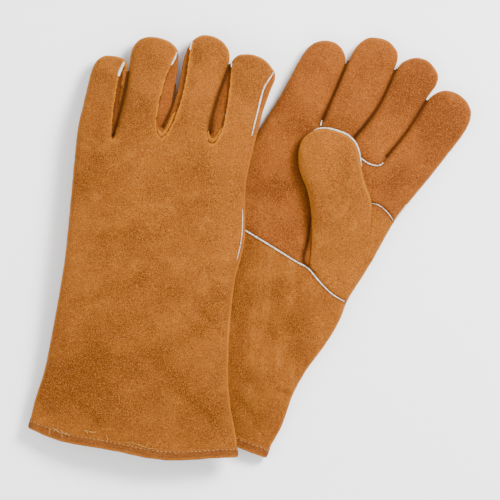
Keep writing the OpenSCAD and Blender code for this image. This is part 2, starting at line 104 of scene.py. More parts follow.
# Seams of the palm side: across the top of the cuff, and round the root of the two middle fingers
CUFF_SEAM = {
    "left": ((-80, 166), (-31, 165), (14, 160), (40, 152), (80, 142)),
    "right": ((-60, 166.4), (-30, 165.6), (-13, 164.5), (10, 162), (36, 159), (46, 158.4),
              (56.5, 153.6), (67, 149.3), (77, 146.6), (96, 145.4)),
}
FINGER_SEAM = {
    "left": ((-45.6, 252), (-44.6, 248), (-40, 246), (-5, 242), (25, 239), (33, 245), (35, 262.5)),
    "right": ((4.4, 276), (5.3, 271), (10, 268.5), (28, 264.5), (46, 261), (54, 259.3), (60.6, 260),
              (64.6, 262), (66.3, 265.5), (66.5, 271)),
}
# Left glove: the cut edges of the back between the fingers, where the strips between them begin
BACK_EDGES = (
    ((-42.6, 315.4), (-44.4, 310), (-46.3, 303), (-46.8, 290), (-47.3, 272), (-46.9, 258), (-45.6, 247.5),
     (-43.8, 255), (-42.3, 265), (-40.6, 276)),
    ((0.2, 328.4), (-1.6, 321), (-5.2, 311), (-8.4, 297), (-10.2, 281), (-10.6, 266), (-8.6, 257.5),
     (-5, 253.6), (-1.6, 256.5), (1.6, 263), (4.8, 272), (7.8, 287), (9.8, 303), (10.2, 322),
     (10.8, 334), (12.6, 340)),
    ((34.7, 276), (33.1, 266), (33.3, 258.5), (36.9, 253.4), (40.8, 256), (43.6, 262), (45.6, 270),
     (46.5, 284), (47.1, 300), (46.6, 318), (46.2, 325)),
)
# Where the fingers touch
SLOTS = {
    "left": (((-39.4, 305), (-41.5, 279), (-45.6, 251)), ((2.6, 300), (1.4, 284), (-4.9, 263.5)),
             ((45, 321), (38.4, 295), (34.6, 270), (35, 262))),
    "right": (((3.4, 330), (4.3, 300), (4.4, 275)), ((42.8, 340), (42.3, 307), (34.7, 272)),
              ((77, 328), (72.9, 297), (66.5, 270.5))),
}
# Left glove: the rolled leather lips at the bottom of two of the gaps, with half their width
LIPS = (
    (((-9.3, 262.5), (-7.8, 258.6), (-4.4, 256.6), (-1.2, 260), (0.9, 265), (2.3, 271), (4.4, 277)), 2.5),
    (((33.4, 264), (33.8, 259.8), (36.6, 256.6), (40.4, 258), (43, 262.4), (44.6, 268)), 2.1),
)
# Left glove: how far the strips in each gap lie below the back
STRIP_DROP = (2.9, 2.4, 2.9)
# Left glove: how much painted shade darkens the strips in each gap, from the little finger's gap on
GAP_SHADE = (0.48, 0.0, 0.22)
# Left glove: how much white welt shows at the start and at the end of each cut edge, and its size
EDGE_WELTS = ((14, 0, 1.8), (13, 9, 1.15), (0, 6, 0.95))
# Half the width of the line of painted shade where two fingers touch
SLOT_SHADE = {"left": (1.2, 1.0, 1.9), "right": (1.05, 1.05, 1.05)}
# Left glove: the seam on the index side, where the leather of the palm rolls up to the back
INDEX_SEAM = (
    (82.6, 321), (81.3, 317.5), (78.4, 311.5), (75.7, 305.5), (74.2, 297.5), (73, 287.5), (72, 280),
    (70.6, 269), (69.6, 259), (68.5, 245), (67.6, 226), (68.4, 210), (70.2, 195), (71.2, 182),
    (70.7, 170), (69, 156), (67.4, 140), (67.8, 100), (70.9, 63), (74.6, 42), (81.6, 18), (86, -6),
)
# Right glove: the thumb lying on the palm, and the seam of its wide base
THUMB_SIDE_BASE = (47, 160.8)
THUMB_OUTLINE = (
    THUMB_SIDE_BASE, (43.8, 169), (39.1, 181), (31, 198), (24.1, 209.3), (17, 218.2), (9.6, 225.2),
    (3.6, 231.8), (-0.9, 240.1), (-3.2, 247), (-3.2, 255), (0.9, 263.2), (7.1, 268.8), (15.5, 272),
    (26.1, 273.2), (34, 271.6), (40.6, 267.5), (45.8, 261.5), (51.3, 253), (57, 245.7), (63.3, 238.9),
    (68.8, 233.6), (72.6, 228), (76.4, 219), (80, 209.8), (83, 200), (83, 186), (79, 170), (72, 158),
    (64, 154.5), (55, 157.5),
)
WING_SEAM = ((70, 229), (74, 230.8), (78.5, 231.2), (83, 230.2), (88, 228.4), (92.4, 226), (97, 222.6))
WING = ((97, 222.6), (120, 200), (120, 120), (67, 149.3), (56.5, 153.6), (46, 158.4), (55, 190), (70, 229))
# The wall of the thumb that shows beside its base: its line on the palm, and its line on the thumb
GUSSET_LOW = ((31.5, 196.5), (34.5, 188), (36.9, 178), (37.9, 168), (40.6, 161.4))
GUSSET_HIGH = ((32.2, 196.8), (37.5, 185.5), (41.2, 176.5), (44.3, 168.5), (46.6, 160.6))

# Heights of the middle of each glove and half its thickness, along Y
LEVELS = {
    "left": ((-40, 25.25, 7.75), (0, 25.25, 7.75), (140, 35.5, 10), (276, 35.5, 10), (350, 21.6, 9.2)),
    "right": ((-40, 7.75, 7.75), (0, 7.75, 7.75), (140, 10, 10), (293, 10, 10), (367, 9.1, 9.1)),
}
# Width of the rounding beside a glove's edge
ROUNDING = 6.0
# The outlines of the fingers are taken from this Y up
FINGERS_FROM = 245
FLOOR_GAP = 0.3
# The left glove sinks where nothing lies under it: along its left side, and at its fingertips
SIDE_SINK = 12.5
TIP_SINK = 9.0

# Long soft folds: from X, Y to X, Y, the width and the height, up or down
FOLDS = {
    "left": (
        (-20, 60, 50, 100, 9, -0.9), (-60, 110, -5, 135, 8, -0.8), (10, 30, 60, 70, 7, 0.8),
        (-70, 25, -30, 70, 8, -0.9), (-55, 165, -15, 172, 10, -0.8), (20, 190, 60, 176, 10, 0.7),
        (-62, 225, -58, 262, 7, -0.7), (0, 220, 30, 234, 9, -0.5), (-40, 20, 20, 14, 8, 0.7),
        (34, 110, 62, 128, 6, -0.7), (-72, 60, -58, 96, 5, 0.7), (34, 46, 76, 13, 4, -1.2),
        (44, 114, 66, 97, 3.5, -0.9), (-30, 96, 20, 60, 6, -0.6), (-66, 34, -30, 14, 4, -0.7),
        (6, 180, 34, 205, 7, -0.6),
    ),
    "right": (
        (-30, 150, -20, 60, 7, -0.8), (0, 145, 6, 40, 9, 0.9), (30, 140, 40, 90, 6, -0.9),
        (42, 96, 70, 118, 5, 1.0), (-8, 22, 20, 26, 3, -1.1), (60, 60, 66, 20, 7, 0.8),
        (-30, 190, 0, 215, 9, -0.8), (-10, 235, 20, 262, 8, 0.6), (70, 246, 96, 262, 9, -0.6),
        (12, 176, 34, 170, 6, -0.6), (20, 284, 24, 300, 4, 0.8), (4.6, 278, 13, 275, 2.2, -1.3),
        (66, 55, 81, 57.2, 2.2, -1.5), (34, 37, 66, 20, 4.5, -1.0),
    ),
}

# Patches darkened by handling: X, Y, radius and strength
STAINS = {
    "left": ((-62, 40, 24, 0.8), (-30, 70, 34, 0.5), (24, 55, 30, 0.55), (58, 24, 26, 0.5),
             (-20, 20, 26, 0.45), (-5, 130, 26, 0.4), (-58, 215, 16, 0.45), (22, 224, 26, 0.35),
             (18, 327, 10, 0.75), (-60, 303, 10, 0.6), (-22, 318, 18, 0.55), (62, 320, 12, 0.4),
             (64, 300, 9, 0.3), (-24, 275, 15, 0.4), (-58, 275, 9, 0.3)),
    "right": ((-24, 215, 24, 0.25), (4, 205, 16, 0.35), (-12, 262, 16, 0.3), (-14, 320, 12, 0.35),
              (24, 340, 14, 0.4), (97, 314, 23, 1.1), (57, 328, 18, 1.0), (84, 255, 14, 0.5),
              (6, 110, 18, 0.5), (44, 57, 13, 0.75), (55, 112, 10, 0.65), (67, 95, 10, 0.65),
              (34, 137, 10, 0.4), (50, 20, 22, 0.55), (-20, 130, 18, 0.3), (20, 268, 10, 0.4)),
}

HEM_WIDTH = 8.6
HEM_STITCH_AT = 6.7
# The binding's section, from its outside over the mouth to its inside: the place above the mouth, how
# far it stands out from the cuff, and how bright its rim is, a painted highlight along its edges and its
# fold with the lighter colour of the cut edge
HEM_PROFILE = (
    (HEM_WIDTH, -0.3, 0.3), (HEM_WIDTH, 0.35, 0.35), (HEM_WIDTH - 0.5, 0.75, 0.3), (HEM_STITCH_AT, 0.45, 0),
    (HEM_STITCH_AT - 1.8, 0.95, 0), (2.2, 1.15, 0), (0.7, 1.0, 0.6), (-0.1, 0.3, 0.6), (-0.35, -0.8, 0.2),
    (0.2, -2.0, 0), (2.0, -2.8, 0), (5.0, -3.0, 0), (HEM_WIDTH, -2.6, 0),
)
STITCH_PITCH = 3.6
STITCH_LENGTH = 2.3
# Spacing of the points along the row of stitches
STITCH_GRAIN = 0.4
WELT_HALF_WIDTH = 0.68
WELT_HALF_HEIGHT = 0.65
# Distance along a finger or a thumb where its skin starts to bend, and where it has turned all the way
BEND_START = 9.5
THUMB_BEND = {"left": (22.0, 42.0), "right": (-6.0, 22.0)}
# Places above the mouth where the leather and the lining start
LEATHER_FROM = 5.0
LINING_FROM = 4.0
# How far the linings lie inside the edge of the leather
LINING_INSET = 3.4
# Rows of points that follow the edge of a sheet, by their distance from it
EDGE_ROWS = (0.35, 1.1, 2.2, 3.6, 5.2)
LINING_ROWS = (1.2, 3.0)
# Rows of points beside a line drawn in a sheet, and how far from the line the other points stay
LINE_ROWS = (-1.3, -0.5, 0.5, 1.3)
LINE_CLEARANCE = 1.9
# Depth and width of the grooves along the seams
GROOVE_DEPTH = 1.1
GROOVE_WIDTH = 1.9
# Width of the bright rim along an edge: painted highlight, partly the lighter colour of the cut edge
RIM_HIGHLIGHT_WIDTH = 1.2
# How wide a finger's side is, on the lower and on the upper sheet
SIDE_BELOW = 3.6
SIDE_ABOVE = 1.1
# How near to where fingers touch the edges of the strips are drawn, and how far from it welts end
STRIP_REACH = 1.6
WELT_CLEARANCE = 2.6
# Points nearer to the edge than this belong to both sheets
SEWN = 0.02
# How often the membrane that fills an outline is smoothed
SETTLING_STEPS = 260
# How many points are measured at a time
BLOCK = 4000
TINY = 1e-12
# The two sheets, as heights gives them
TOP = 0
UNDER = 1


# ---- Lines and places ----

def resample(line, step):
    """The same line with points about step apart."""
    gaps = np.linalg.norm(np.diff(line, axis=0), axis=1)
    along = np.concatenate([[0], np.cumsum(gaps)])
    count = max(2, int(round(along[-1] / step)) + 1)
    wanted = np.linspace(0, along[-1], count)
    return np.stack([np.interp(wanted, along, line[:, k]) for k in range(line.shape[1])], axis=1)


def smooth_line(points, step=2.0, closed=False):
    """A smooth line through the points, with points about step apart."""
    p = np.array(points, float)
    if closed:
        p = np.vstack([p[-1], p, p[0], p[1]])
    else:
        p = np.vstack([2 * p[0] - p[1], p, 2 * p[-1] - p[-2]])
    spans = []
    for a, b, c, d in zip(p[:-3], p[1:-2], p[2:-1], p[3:]):
        t = np.linspace(0, 1, 12, endpoint=False)[:, None]
        spans.append(b + 0.5 * t * (c - a + t * (2 * a - 5 * b + 4 * c - d + t * (3 * (b - c) + d - a))))
    line = resample(np.vstack(spans + [p[-2][None]]), step)
    return line[:-1] if closed else line


def turn(x, y, lean):
    """A place turned clockwise by so many degrees."""
    c = math.cos(math.radians(lean))
    s = math.sin(math.radians(lean))
    return x * c + y * s, y * c - x * s


def to_world(side, xyz):
    """Points of a glove's own frame, in millimetres, as points of the frame, in metres."""
    x0, y0, lean = PLACE[side]
    p = np.atleast_2d(np.array(xyz, float))
    x, y = turn(p[:, 0], p[:, 1], lean)
    return MM * np.column_stack([x0 + x, y0 + y, p[:, 2]])


def along_axis(axis, xy):
    """Distance across and along a finger or a thumb, from its root point."""
    x0, y0, lean = axis
    return turn(xy[:, 0] - x0, xy[:, 1] - y0, -lean)


def on_axis(axis, across, along):
    """The point of a glove's own frame that lies so far across and along a finger or a thumb."""
    x0, y0, lean = axis
    x, y = turn(across, along, lean)
    return x0 + x, y0 + y


def distance(xy, line, closed=False):
    """Distance of each point to a line."""
    a = line if closed else line[:-1]
    b = np.roll(line, -1, axis=0) if closed else line[1:]
    ab = b - a
    length2 = np.maximum((ab ** 2).sum(1), TINY)
    best = np.zeros(len(xy))
    for start in range(0, len(xy), BLOCK):
        p = xy[start:start + BLOCK, None, :]
        t = np.clip(((p - a) * ab).sum(2) / length2, 0, 1)
        best[start:start + BLOCK] = np.linalg.norm(p - (a + t[..., None] * ab), axis=2).min(1)
    return best


def near(xy, line, width, closed=False):
    """1 for a point on a line, falling to 0 over about a width beside it."""
    return np.exp(-(distance(xy, line, closed) / width) ** 2)


def inside(xy, ring):
    """Whether each point lies inside a closed line."""
    ax, ay = ring.T
    bx, by = np.roll(ring, -1, axis=0).T
    rise = np.where(np.abs(by - ay) < TINY, TINY, by - ay)
    result = np.zeros(len(xy), bool)
    for start in range(0, len(xy), BLOCK):
        x = xy[start:start + BLOCK, 0, None]
        y = xy[start:start + BLOCK, 1, None]
        crosses = (ay > y) != (by > y)
        at = ax + (y - ay) / rise * (bx - ax)
        result[start:start + BLOCK] = (crosses & (x < at)).sum(1) % 2 == 1
    return result


def unit(vectors):
    """The same directions, with a length of 1."""
    length = np.linalg.norm(vectors, axis=1)
    return vectors / np.where(length > 0, length, 1)[:, None]


def inward_normals(ring):
    """The direction into a closed line, at each of its points."""
    tangent = unit(np.roll(ring, -1, axis=0) - np.roll(ring, 1, axis=0))
    normal = np.column_stack([-tangent[:, 1], tangent[:, 0]])
    return normal if inside((ring + 0.2 * normal)[:1], ring)[0] else -normal


def inset_ring(ring, depth):
    """The ring moved inward, without the points that would cross over."""
    moved = ring + depth * inward_normals(ring)
    return moved[inside(moved, ring) & (distance(moved, ring, closed=True) > 0.96 * depth)]


def inner_ring(ring, depth, step):
    """The ring moved inward, with points about step apart."""
    inset = inset_ring(ring, depth)
    return resample(np.vstack([inset, inset[:1]]), step)[:-1]


def smoothstep(v, low, high):
    """Rises softly from 0 at low to 1 at high."""
    t = np.clip((v - low) / (high - low), 0, 1)
    return t * t * (3 - 2 * t)


def taper(share, margin, power):
    """1 in the middle of a line and less toward its ends, where share runs from 0 to 1 along it."""
    return np.sin(math.pi * np.clip(share, margin, 1 - margin)) ** power



def waves(xy, size, seed):
    """Soft noise from -1 to 1 whose lumps are about size wide."""
    return np.array([noise.noise(Vector((x / size, y / size, seed))) for x, y in xy])


# ---- Skins: two sheets sewn together at their edges and blown up between ----

class Fullness:
    """How full a sewn outline is, from 0 at its seam to 1 where it is wide: a pressed membrane."""

    def __init__(self, ring, rounding):
        self.rounding = rounding
        margin = 3
        self.low = np.floor(ring.min(0)) - margin
        size = (np.ceil(ring.max(0)) + margin - self.low).astype(int) + 1
        xs, ys = (start + np.arange(count) for start, count in zip(self.low, size))
        cells = np.stack(np.meshgrid(xs, ys, indexing="ij"), axis=2).reshape(-1, 2)
        within = inside(cells, ring)
        u = np.zeros(len(cells))
        gap = distance(cells[within], ring, closed=True)
        u[within] = rounding ** 2 * (1 - np.exp(-gap / rounding))
        u = u.reshape(size)
        within = within.reshape(size)
        for _ in range(SETTLING_STEPS):
            around = np.zeros_like(u)
            around[1:-1, 1:-1] = u[:-2, 1:-1] + u[2:, 1:-1] + u[1:-1, :-2] + u[1:-1, 2:]
            u = np.where(within, (around + 1) / (4 + 1 / rounding ** 2), 0)
        self.share = u / rounding ** 2

    def sample(self, xy):
        """The membrane's height between its grid points."""
        g = self.share
        p = xy - self.low
        i = np.clip(np.floor(p).astype(int), 0, np.array(g.shape) - 2)
        fx, fy = np.clip(p - i, 0, 1).T
        x, y = i.T
        low = g[x, y] * (1 - fx) + g[x + 1, y] * fx
        high = g[x, y + 1] * (1 - fx) + g[x + 1, y + 1] * fx
        return low * (1 - fy) + high * fy

    def at(self, xy, gap):
        """How full the outline is at points so far from its edge."""
        beside = np.sqrt(1 - np.exp(-np.maximum(gap, 0) / self.rounding))
        far = np.sqrt(np.maximum(self.sample(xy), 0))
        w = smoothstep(gap, 1.0, 4.0)
        return beside * (1 - w) + far * w


def triangulate(ring, lines, rows_at, spacing):
    """Points and triangles that fill a closed line, with rows of points beside it and beside lines."""
    normal = inward_normals(ring)
    sets = []
    for depth in rows_at:
        row = ring + depth * normal
        row = row[inside(row, ring)]
        sets.append(row[distance(row, ring, closed=True) > 0.93 * depth])
    low = ring.min(0)
    high = ring.max(0)
    grid = []
    for k, y in enumerate(np.arange(low[1], high[1], spacing * 0.866)):
        xs = np.arange(low[0] + (k % 2) * spacing / 2, high[0], spacing)
        grid.append(np.column_stack([xs, np.full_like(xs, y)]))
    grid = np.vstack(grid)
    grid = grid[inside(grid, ring)]
    sets.append(grid[distance(grid, ring, closed=True) > rows_at[-1] + spacing * 0.6])
    free = np.vstack(sets)
    for line in lines:
        free = free[distance(free, line) > LINE_CLEARANCE]
    edges = [(k, (k + 1) % len(ring)) for k in range(len(ring))]
    at = len(ring)
    beside = []
    for line in lines:
        edges += [(at + k, at + k + 1) for k in range(len(line) - 1)]
        at += len(line)
        run = unit(np.gradient(line, axis=0))
        across = np.column_stack([-run[:, 1], run[:, 0]])
        beside += [line + offset * across for offset in LINE_ROWS]
    if beside:
        beside = np.vstack(beside)
        beside = beside[inside(beside, ring)]
        beside = beside[distance(beside, ring, closed=True) > 0.35]
        for line in lines:
            beside = beside[distance(beside, line) > 0.4]
        free = np.vstack([free, beside])
    points = np.vstack([ring, *lines, free])
    made = delaunay_2d_cdt([Vector(p) for p in points], edges, [], 0, 1e-4)
    xy = np.array([tuple(v) for v in made[0]])
    triangles = np.array([f for f in made[2] if len(f) == 3])
    a, b, c = (xy[triangles[:, k]] for k in range(3))
    area = np.cross(b - a, c - a)
    keep = inside(xy[triangles].mean(1), ring) & (np.abs(area) > 1e-4)
    triangles = triangles[keep]
    flip = area[keep] < 0
    triangles[flip] = triangles[flip][:, ::-1]
    return xy, triangles


def compact(faces):
    """The points that some faces use, and the same faces with those points numbered from 0."""
    used, numbered = np.unique(faces, return_inverse=True)
    return used, numbered.reshape(faces.shape)


class Skin:
    """A closed skin: an upper and a lower sheet over the same points, which share the joined ones."""

    def __init__(self, side, xy, triangles, high, low, joined):
        used, triangles = compact(triangles)
        xy, high, low, joined = xy[used], high[used], low[used], joined[used]
        count = len(xy)
        under = np.arange(count) + np.where(joined, 0, count)
        self.xy = np.vstack([xy, xy])
        self.co = to_world(side, np.column_stack([self.xy, np.concatenate([high, low])]))
        self.is_top = np.arange(2 * count) < count
        self.faces = np.vstack([triangles, under[triangles][:, ::-1]])
        self.face_top = np.arange(len(self.faces)) < len(triangles)
        self.middle = self.xy[self.faces].mean(1)
        a, b, c = (self.co[self.faces[:, k]] for k in range(3))
        normal = np.zeros_like(self.co)
        for k in range(3):
            np.add.at(normal, self.faces[:, k], np.cross(b - a, c - a))
        self.normal = unit(normal)
        self.rim = np.zeros(2 * count)
        self.shade = np.zeros(2 * count)
        self.soil_and_fold_shade = np.zeros(2 * count)

    def darken(self, line, width, depth):
        """Paints shade on the upper sheet beside a line."""
        self.shade = np.maximum(self.shade, depth * near(self.xy, line, width) * self.is_top)

    def piece(self, name, chosen, material, slot):
        """A mesh object of the chosen faces, shaded as part of the whole skin."""
        used, faces = compact(self.faces[chosen])
        return make_mesh(name, self.co[used], faces, material, slot, self.normal[used],
                         self.rim[used], self.shade[used], self.soil_and_fold_shade[used])


def add_object(name, data):
    """A new object in the scene."""
    obj = bpy.data.objects.new(name, data)
    bpy.context.scene.collection.objects.link(obj)
    return obj


def make_mesh(name, co, faces, material, slot, normals=None, rim=0.0, shade=0.0, soil_and_fold_shade_amount=0.0):
    """A mesh object that carries its resting place and what its leather needs as attributes."""
    mesh = bpy.data.meshes.new(name)
    mesh.from_pydata([tuple(p) for p in co], [], [tuple(int(k) for k in f) for f in faces])
    mesh.polygons.foreach_set("use_smooth", [True] * len(mesh.polygons))
    rest = mesh.attributes.new("rest", "FLOAT_VECTOR", "POINT")
    rest.data.foreach_set("vector", np.array(co, np.float32).ravel())
    # The attributes carry painted highlight along the rims, painted shade, and soil with painted shade in
    # the folds
    for label, values in (("rim", rim), ("shade", shade), ("soil_and_fold_shade", soil_and_fold_shade_amount)):
        attribute = mesh.attributes.new(label, "FLOAT", "POINT")
        attribute.data.foreach_set("value", np.full(len(co), values, np.float32))
    mesh.update()
    if normals is not None:
        mesh.normals_split_custom_set_from_vertices([tuple(n) for n in normals])
    mesh.materials.append(material)
    obj = add_object(name, mesh)
    return obj


def fit(obj, side, replaced=None, part=None):
    """Puts a piece in place of a CAD node by hiding that node. A piece on a finger or thumb has its place
    baked into its mesh; any other piece rides its glove.
    """
    if replaced:
        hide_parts(f"{side}_{replaced}")
    if part == "thumb":
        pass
    elif part in FINGERS:
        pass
    else:
        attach(obj, f"{side}_glove")
        return
    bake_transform(obj)


def grid_faces(rows, count, closed=True):
    """The faces between rows of so many points each."""
    faces = []
    for i in range(rows - 1):
        for k in range(count if closed else count - 1):
            n = (k + 1) % count
            faces.append((i * count + k, i * count + n, (i + 1) * count + n, (i + 1) * count + k))
    return faces


def tube(side, path, half_width, half_height, sides=8):
    """Points and faces of a flattened cord along a path, with closed ends. Half width may vary."""
    path = to_world(side, path)
    run = unit(np.gradient(path, axis=0))
    across = unit(np.cross(run, (0, 0, 1.0)))
    up = np.cross(across, run)
    half_width = MM * np.broadcast_to(half_width, len(path))[:, None]
    half_height = MM * np.broadcast_to(half_height, len(path))[:, None]
    rings = []
    for k in range(sides):
        a = 2 * math.pi * k / sides
        rings.append(path + across * half_width * math.cos(a) + up * (half_height * math.sin(a)))
    co = np.stack(rings, axis=1).reshape(-1, 3)
    faces = grid_faces(len(path), sides)
    faces.append(tuple(range(sides))[::-1])
    last = (len(path) - 1) * sides
    faces.append(tuple(last + k for k in range(sides)))
    return co, faces


def make_cords(name, cords, material, slot, **marks):
    """One mesh object of several cords."""
    faces = []
    at = 0
    for points, polygons in cords:
        faces += [tuple(k + at for k in f) for f in polygons]
        at += len(points)
    return make_mesh(name, np.vstack([points for points, _ in cords]), faces, material, slot, **marks)


# ---- Materials ----

class Nodes:
    """A short way to write a material's node tree."""

    def __init__(self, name):
        self.material = bpy.data.materials.new(name)
        self.material.use_nodes = True
        self.tree = self.material.node_tree
        self.tree.nodes.clear()

    def add(self, kind, inputs, **settings):
        """A new node. Each input gets a constant value or the output of another node."""
        node = self.tree.nodes.new(kind)
        for key, value in settings.items():
            setattr(node, key, value)
        for socket, value in inputs.items():
            if isinstance(value, bpy.types.NodeSocket):
                self.tree.links.new(value, node.inputs[socket])
            else:
                node.inputs[socket].default_value = value
        return node

    def attribute(self, name, output="Fac"):
        return self.add("ShaderNodeAttribute", {}, attribute_name=name).outputs[output]

    def noise(self, where, scale, detail=3.0, rough=0.55, stretch=None):
        if stretch:
            where = self.add("ShaderNodeMapping", {"Scale": stretch, "Vector": where}).outputs["Vector"]
        inputs = {"Scale": scale, "Detail": detail, "Roughness": rough, "Vector": where}
        return self.add("ShaderNodeTexNoise", inputs).outputs["Fac"]

    def bands(self, where, scale, distortion):
        """Slanted ribs, as of knitting or twisted thread."""
        inputs = {"Scale": scale, "Distortion": distortion, "Vector": where}
        node = self.add("ShaderNodeTexWave", inputs, wave_type="BANDS", bands_direction="DIAGONAL")
        return node.outputs["Fac"]

    def ramp(self, value, low, high, out_low=0.0, out_high=1.0):
        """A value that runs softly from one number to another."""
        inputs = {"From Min": low, "From Max": high, "To Min": out_low, "To Max": out_high, "Value": value}
        node = self.add("ShaderNodeMapRange", inputs, clamp=True, interpolation_type="SMOOTHSTEP")
        return node.outputs["Result"]

    def mix(self, factor, first, second):
        """One colour where the factor is 0 and the other one where it is 1."""
        colours = [(*value, 1.0) if isinstance(value, tuple) else value for value in (first, second)]
        inputs = {"Factor": factor, 6: colours[0], 7: colours[1]}
        return self.add("ShaderNodeMix", inputs, data_type="RGBA").outputs[2]

    def layers(self, colour, rows):
        """Colours laid on, each where a noise runs from low to high, up to its share."""
        for value, low, high, share, tone in rows:
            colour = self.mix(self.ramp(value, low, high, 0.0, share), colour, tone)
        return colour

    def sum(self, first, second, share):
        """The first value and a share of the second one."""
        inputs = {0: second, 1: share, 2: first}
        return self.add("ShaderNodeMath", inputs, operation="MULTIPLY_ADD").outputs[0]

    def bump(self, height, depth, strength):
        inputs = {"Strength": strength, "Distance": depth, "Height": height}
        return self.add("ShaderNodeBump", inputs).outputs["Normal"]

    def surface(self, colour, normal, roughness, sheen=0.0, specular=0.3, tint=(1, 1, 1)):
        shader = self.add("ShaderNodeBsdfPrincipled", {
            "Specular IOR Level": specular, "Sheen Weight": sheen, "Sheen Roughness": 0.45,
            "Sheen Tint": (*tint, 1.0), "Base Color": colour, "Roughness": roughness, "Normal": normal,
        })
        self.add("ShaderNodeOutputMaterial", {"Surface": shader.outputs["BSDF"]})
        return self.material


def darker(colour, share):
    """The colour at a share of its brightness."""
    return tuple(share * c for c in colour)


def suede(name, base, dark, light, edge, streaks=False):
    """Split cowhide: mottled nap with dark and light specks, a bright rim that is painted highlight and
    partly the lighter cut edge, and painted shade.
    """
    n = Nodes(name)
    where = n.attribute("rest", "Vector")
    broad = n.noise(where, 17, 2.0, 0.5)
    patch = n.noise(where, 75, 4.0, 0.6)
    nap = n.noise(where, 540, 4.0, 0.7)
    speck = n.noise(where, 1450, 3.0, 0.75)
    fibre = n.noise(where, 2600, 2.0, 0.7)
    deep = darker(dark, 0.42)
    colour = n.mix(n.ramp(broad, 0.36, 0.62, 0.42, 1.0), dark, base)
    rows = [(patch, 0.42, 0.62, 0.5, base)]
    if streaks:
        streak = n.noise(where, 26, 4.0, 0.6, (3.4, 1.0, 1.0))
        rows += [(streak, 0.50, 0.66, 0.42, light), (streak, 0.48, 0.34, 0.75, dark)]
    else:
        rows.append((patch, 0.52, 0.70, 0.22, light))
    colour = n.layers(colour, rows)
    # Real soil from handling, and painted shade in the valleys of folds
    colour = n.mix(n.attribute("soil_and_fold_shade"), colour, darker(dark, 0.78))
    colour = n.layers(colour, (
        (nap, 0.54, 0.70, 0.22, light), (nap, 0.48, 0.32, 0.55, dark), (speck, 0.50, 0.36, 0.90, deep),
        (speck, 0.52, 0.66, 0.85, light), (fibre, 0.50, 0.36, 0.45, deep),
    ))
    # Painted highlight along the rims, broken up by the nap, in the colour of the lighter cut edge
    patchy_rim_highlight = {0: n.attribute("rim"), 1: n.ramp(nap, 0.34, 0.60, 0.45, 1.0)}
    colour = n.mix(n.add("ShaderNodeMath", patchy_rim_highlight, operation="MULTIPLY").outputs[0], colour, edge)
    # Painted shade where the shade attribute is set: in gaps, seams and beside the thumb
    colour = n.mix(n.attribute("shade"), colour, darker(dark, 0.16))
    normal = n.bump(n.sum(n.sum(nap, speck, 0.55), fibre, 0.3), 0.0014, 0.9)
    roughness = n.ramp(patch, 0.3, 0.7, 0.86, 0.97)
    return n.surface(colour, normal, roughness, sheen=0.03, specular=0.06, tint=(1.0, 0.55, 0.2))


def welting(name):
    """White split-leather strip, a little fuzzy and grey in its pores."""
    n = Nodes(name)
    where = n.attribute("rest", "Vector")
    fuzz = n.noise(where, 900, 4.0, 0.7)
    stain = n.noise(where, 130, 3.0, 0.6)
    colour = n.mix(n.ramp(fuzz, 0.35, 0.62), (0.20, 0.16, 0.12), (0.66, 0.60, 0.51))
    colour = n.mix(n.ramp(stain, 0.55, 0.8, 0.0, 0.45), colour, (0.26, 0.14, 0.06))
    normal = n.bump(fuzz, 0.0006, 0.8)
    return n.surface(colour, normal, n.ramp(stain, 0.3, 0.7, 0.7, 0.9), sheen=0.1, specular=0.25)


def cotton(name):
    """Pale cotton fleece with a fine knit."""
    n = Nodes(name)
    where = n.attribute("rest", "Vector")
    knit = n.bands(where, 420, 2.5)
    pile = n.noise(where, 1100, 4.0, 0.7)
    soiling = n.noise(where, 28, 3.0, 0.55)
    colour = n.mix(n.ramp(soiling, 0.35, 0.7), (0.42, 0.37, 0.29), (0.56, 0.51, 0.42))
    colour = n.mix(n.ramp(pile, 0.3, 0.6), (0.26, 0.22, 0.16), colour)
    normal = n.bump(n.sum(knit, pile, 0.8), 0.0005, 0.7)
    return n.surface(colour, normal, n.ramp(soiling, 0.3, 0.7, 0.88, 0.97), sheen=0.3, specular=0.1)


def thread(name):
    """Twisted pale-yellow sewing thread."""
    n = Nodes(name)
    where = n.attribute("rest", "Vector")
    age = n.noise(where, 160, 3.0, 0.6)
    colour = n.mix(n.ramp(age, 0.35, 0.65), (0.30, 0.135, 0.018), (0.47, 0.27, 0.055))
    normal = n.bump(n.bands(where, 900, 0.0), 0.0002, 0.8)
    return n.surface(colour, normal, n.ramp(age, 0.3, 0.7, 0.45, 0.65), sheen=0.15, specular=0.35)


# The last colour of each suede is its bright rim: painted highlight, partly the lighter cut edge
GOLDEN = suede("suede_golden_brown", (0.250, 0.074, 0.0088), (0.150, 0.040, 0.0060), (0.46, 0.168, 0.023),
               (0.43, 0.145, 0.005))
ORANGE = suede("suede_orange_brown", (0.242, 0.066, 0.0095), (0.152, 0.038, 0.0066), (0.42, 0.140, 0.025),
               (0.40, 0.125, 0.006))
CUFF = suede("suede_cuff", (0.230, 0.066, 0.0080), (0.150, 0.041, 0.0062), (0.42, 0.150, 0.020),
             (0.42, 0.135, 0.005), streaks=True)
STRIP = suede("suede_between_fingers", (0.230, 0.060, 0.0075), (0.160, 0.038, 0.0055),
              (0.38, 0.125, 0.022), (0.44, 0.125, 0.008))
BINDING = suede("suede_binding", (0.165, 0.048, 0.0085), (0.110, 0.030, 0.0058), (0.34, 0.125, 0.028),
                (0.42, 0.130, 0.009))
WHITE = welting("white_welting")
COTTON = cotton("cotton_fleece")
THREAD = thread("yellow_thread")
SLOT_BACK = "leather_golden_brown"
SLOT_FRONT = "leather_orange_brown"


# ---- The glove skins ----

def straight(x0, y0, x1, y1):
    """The line from one place to another."""
    return np.array([(x0, y0), (x1, y1)], float)


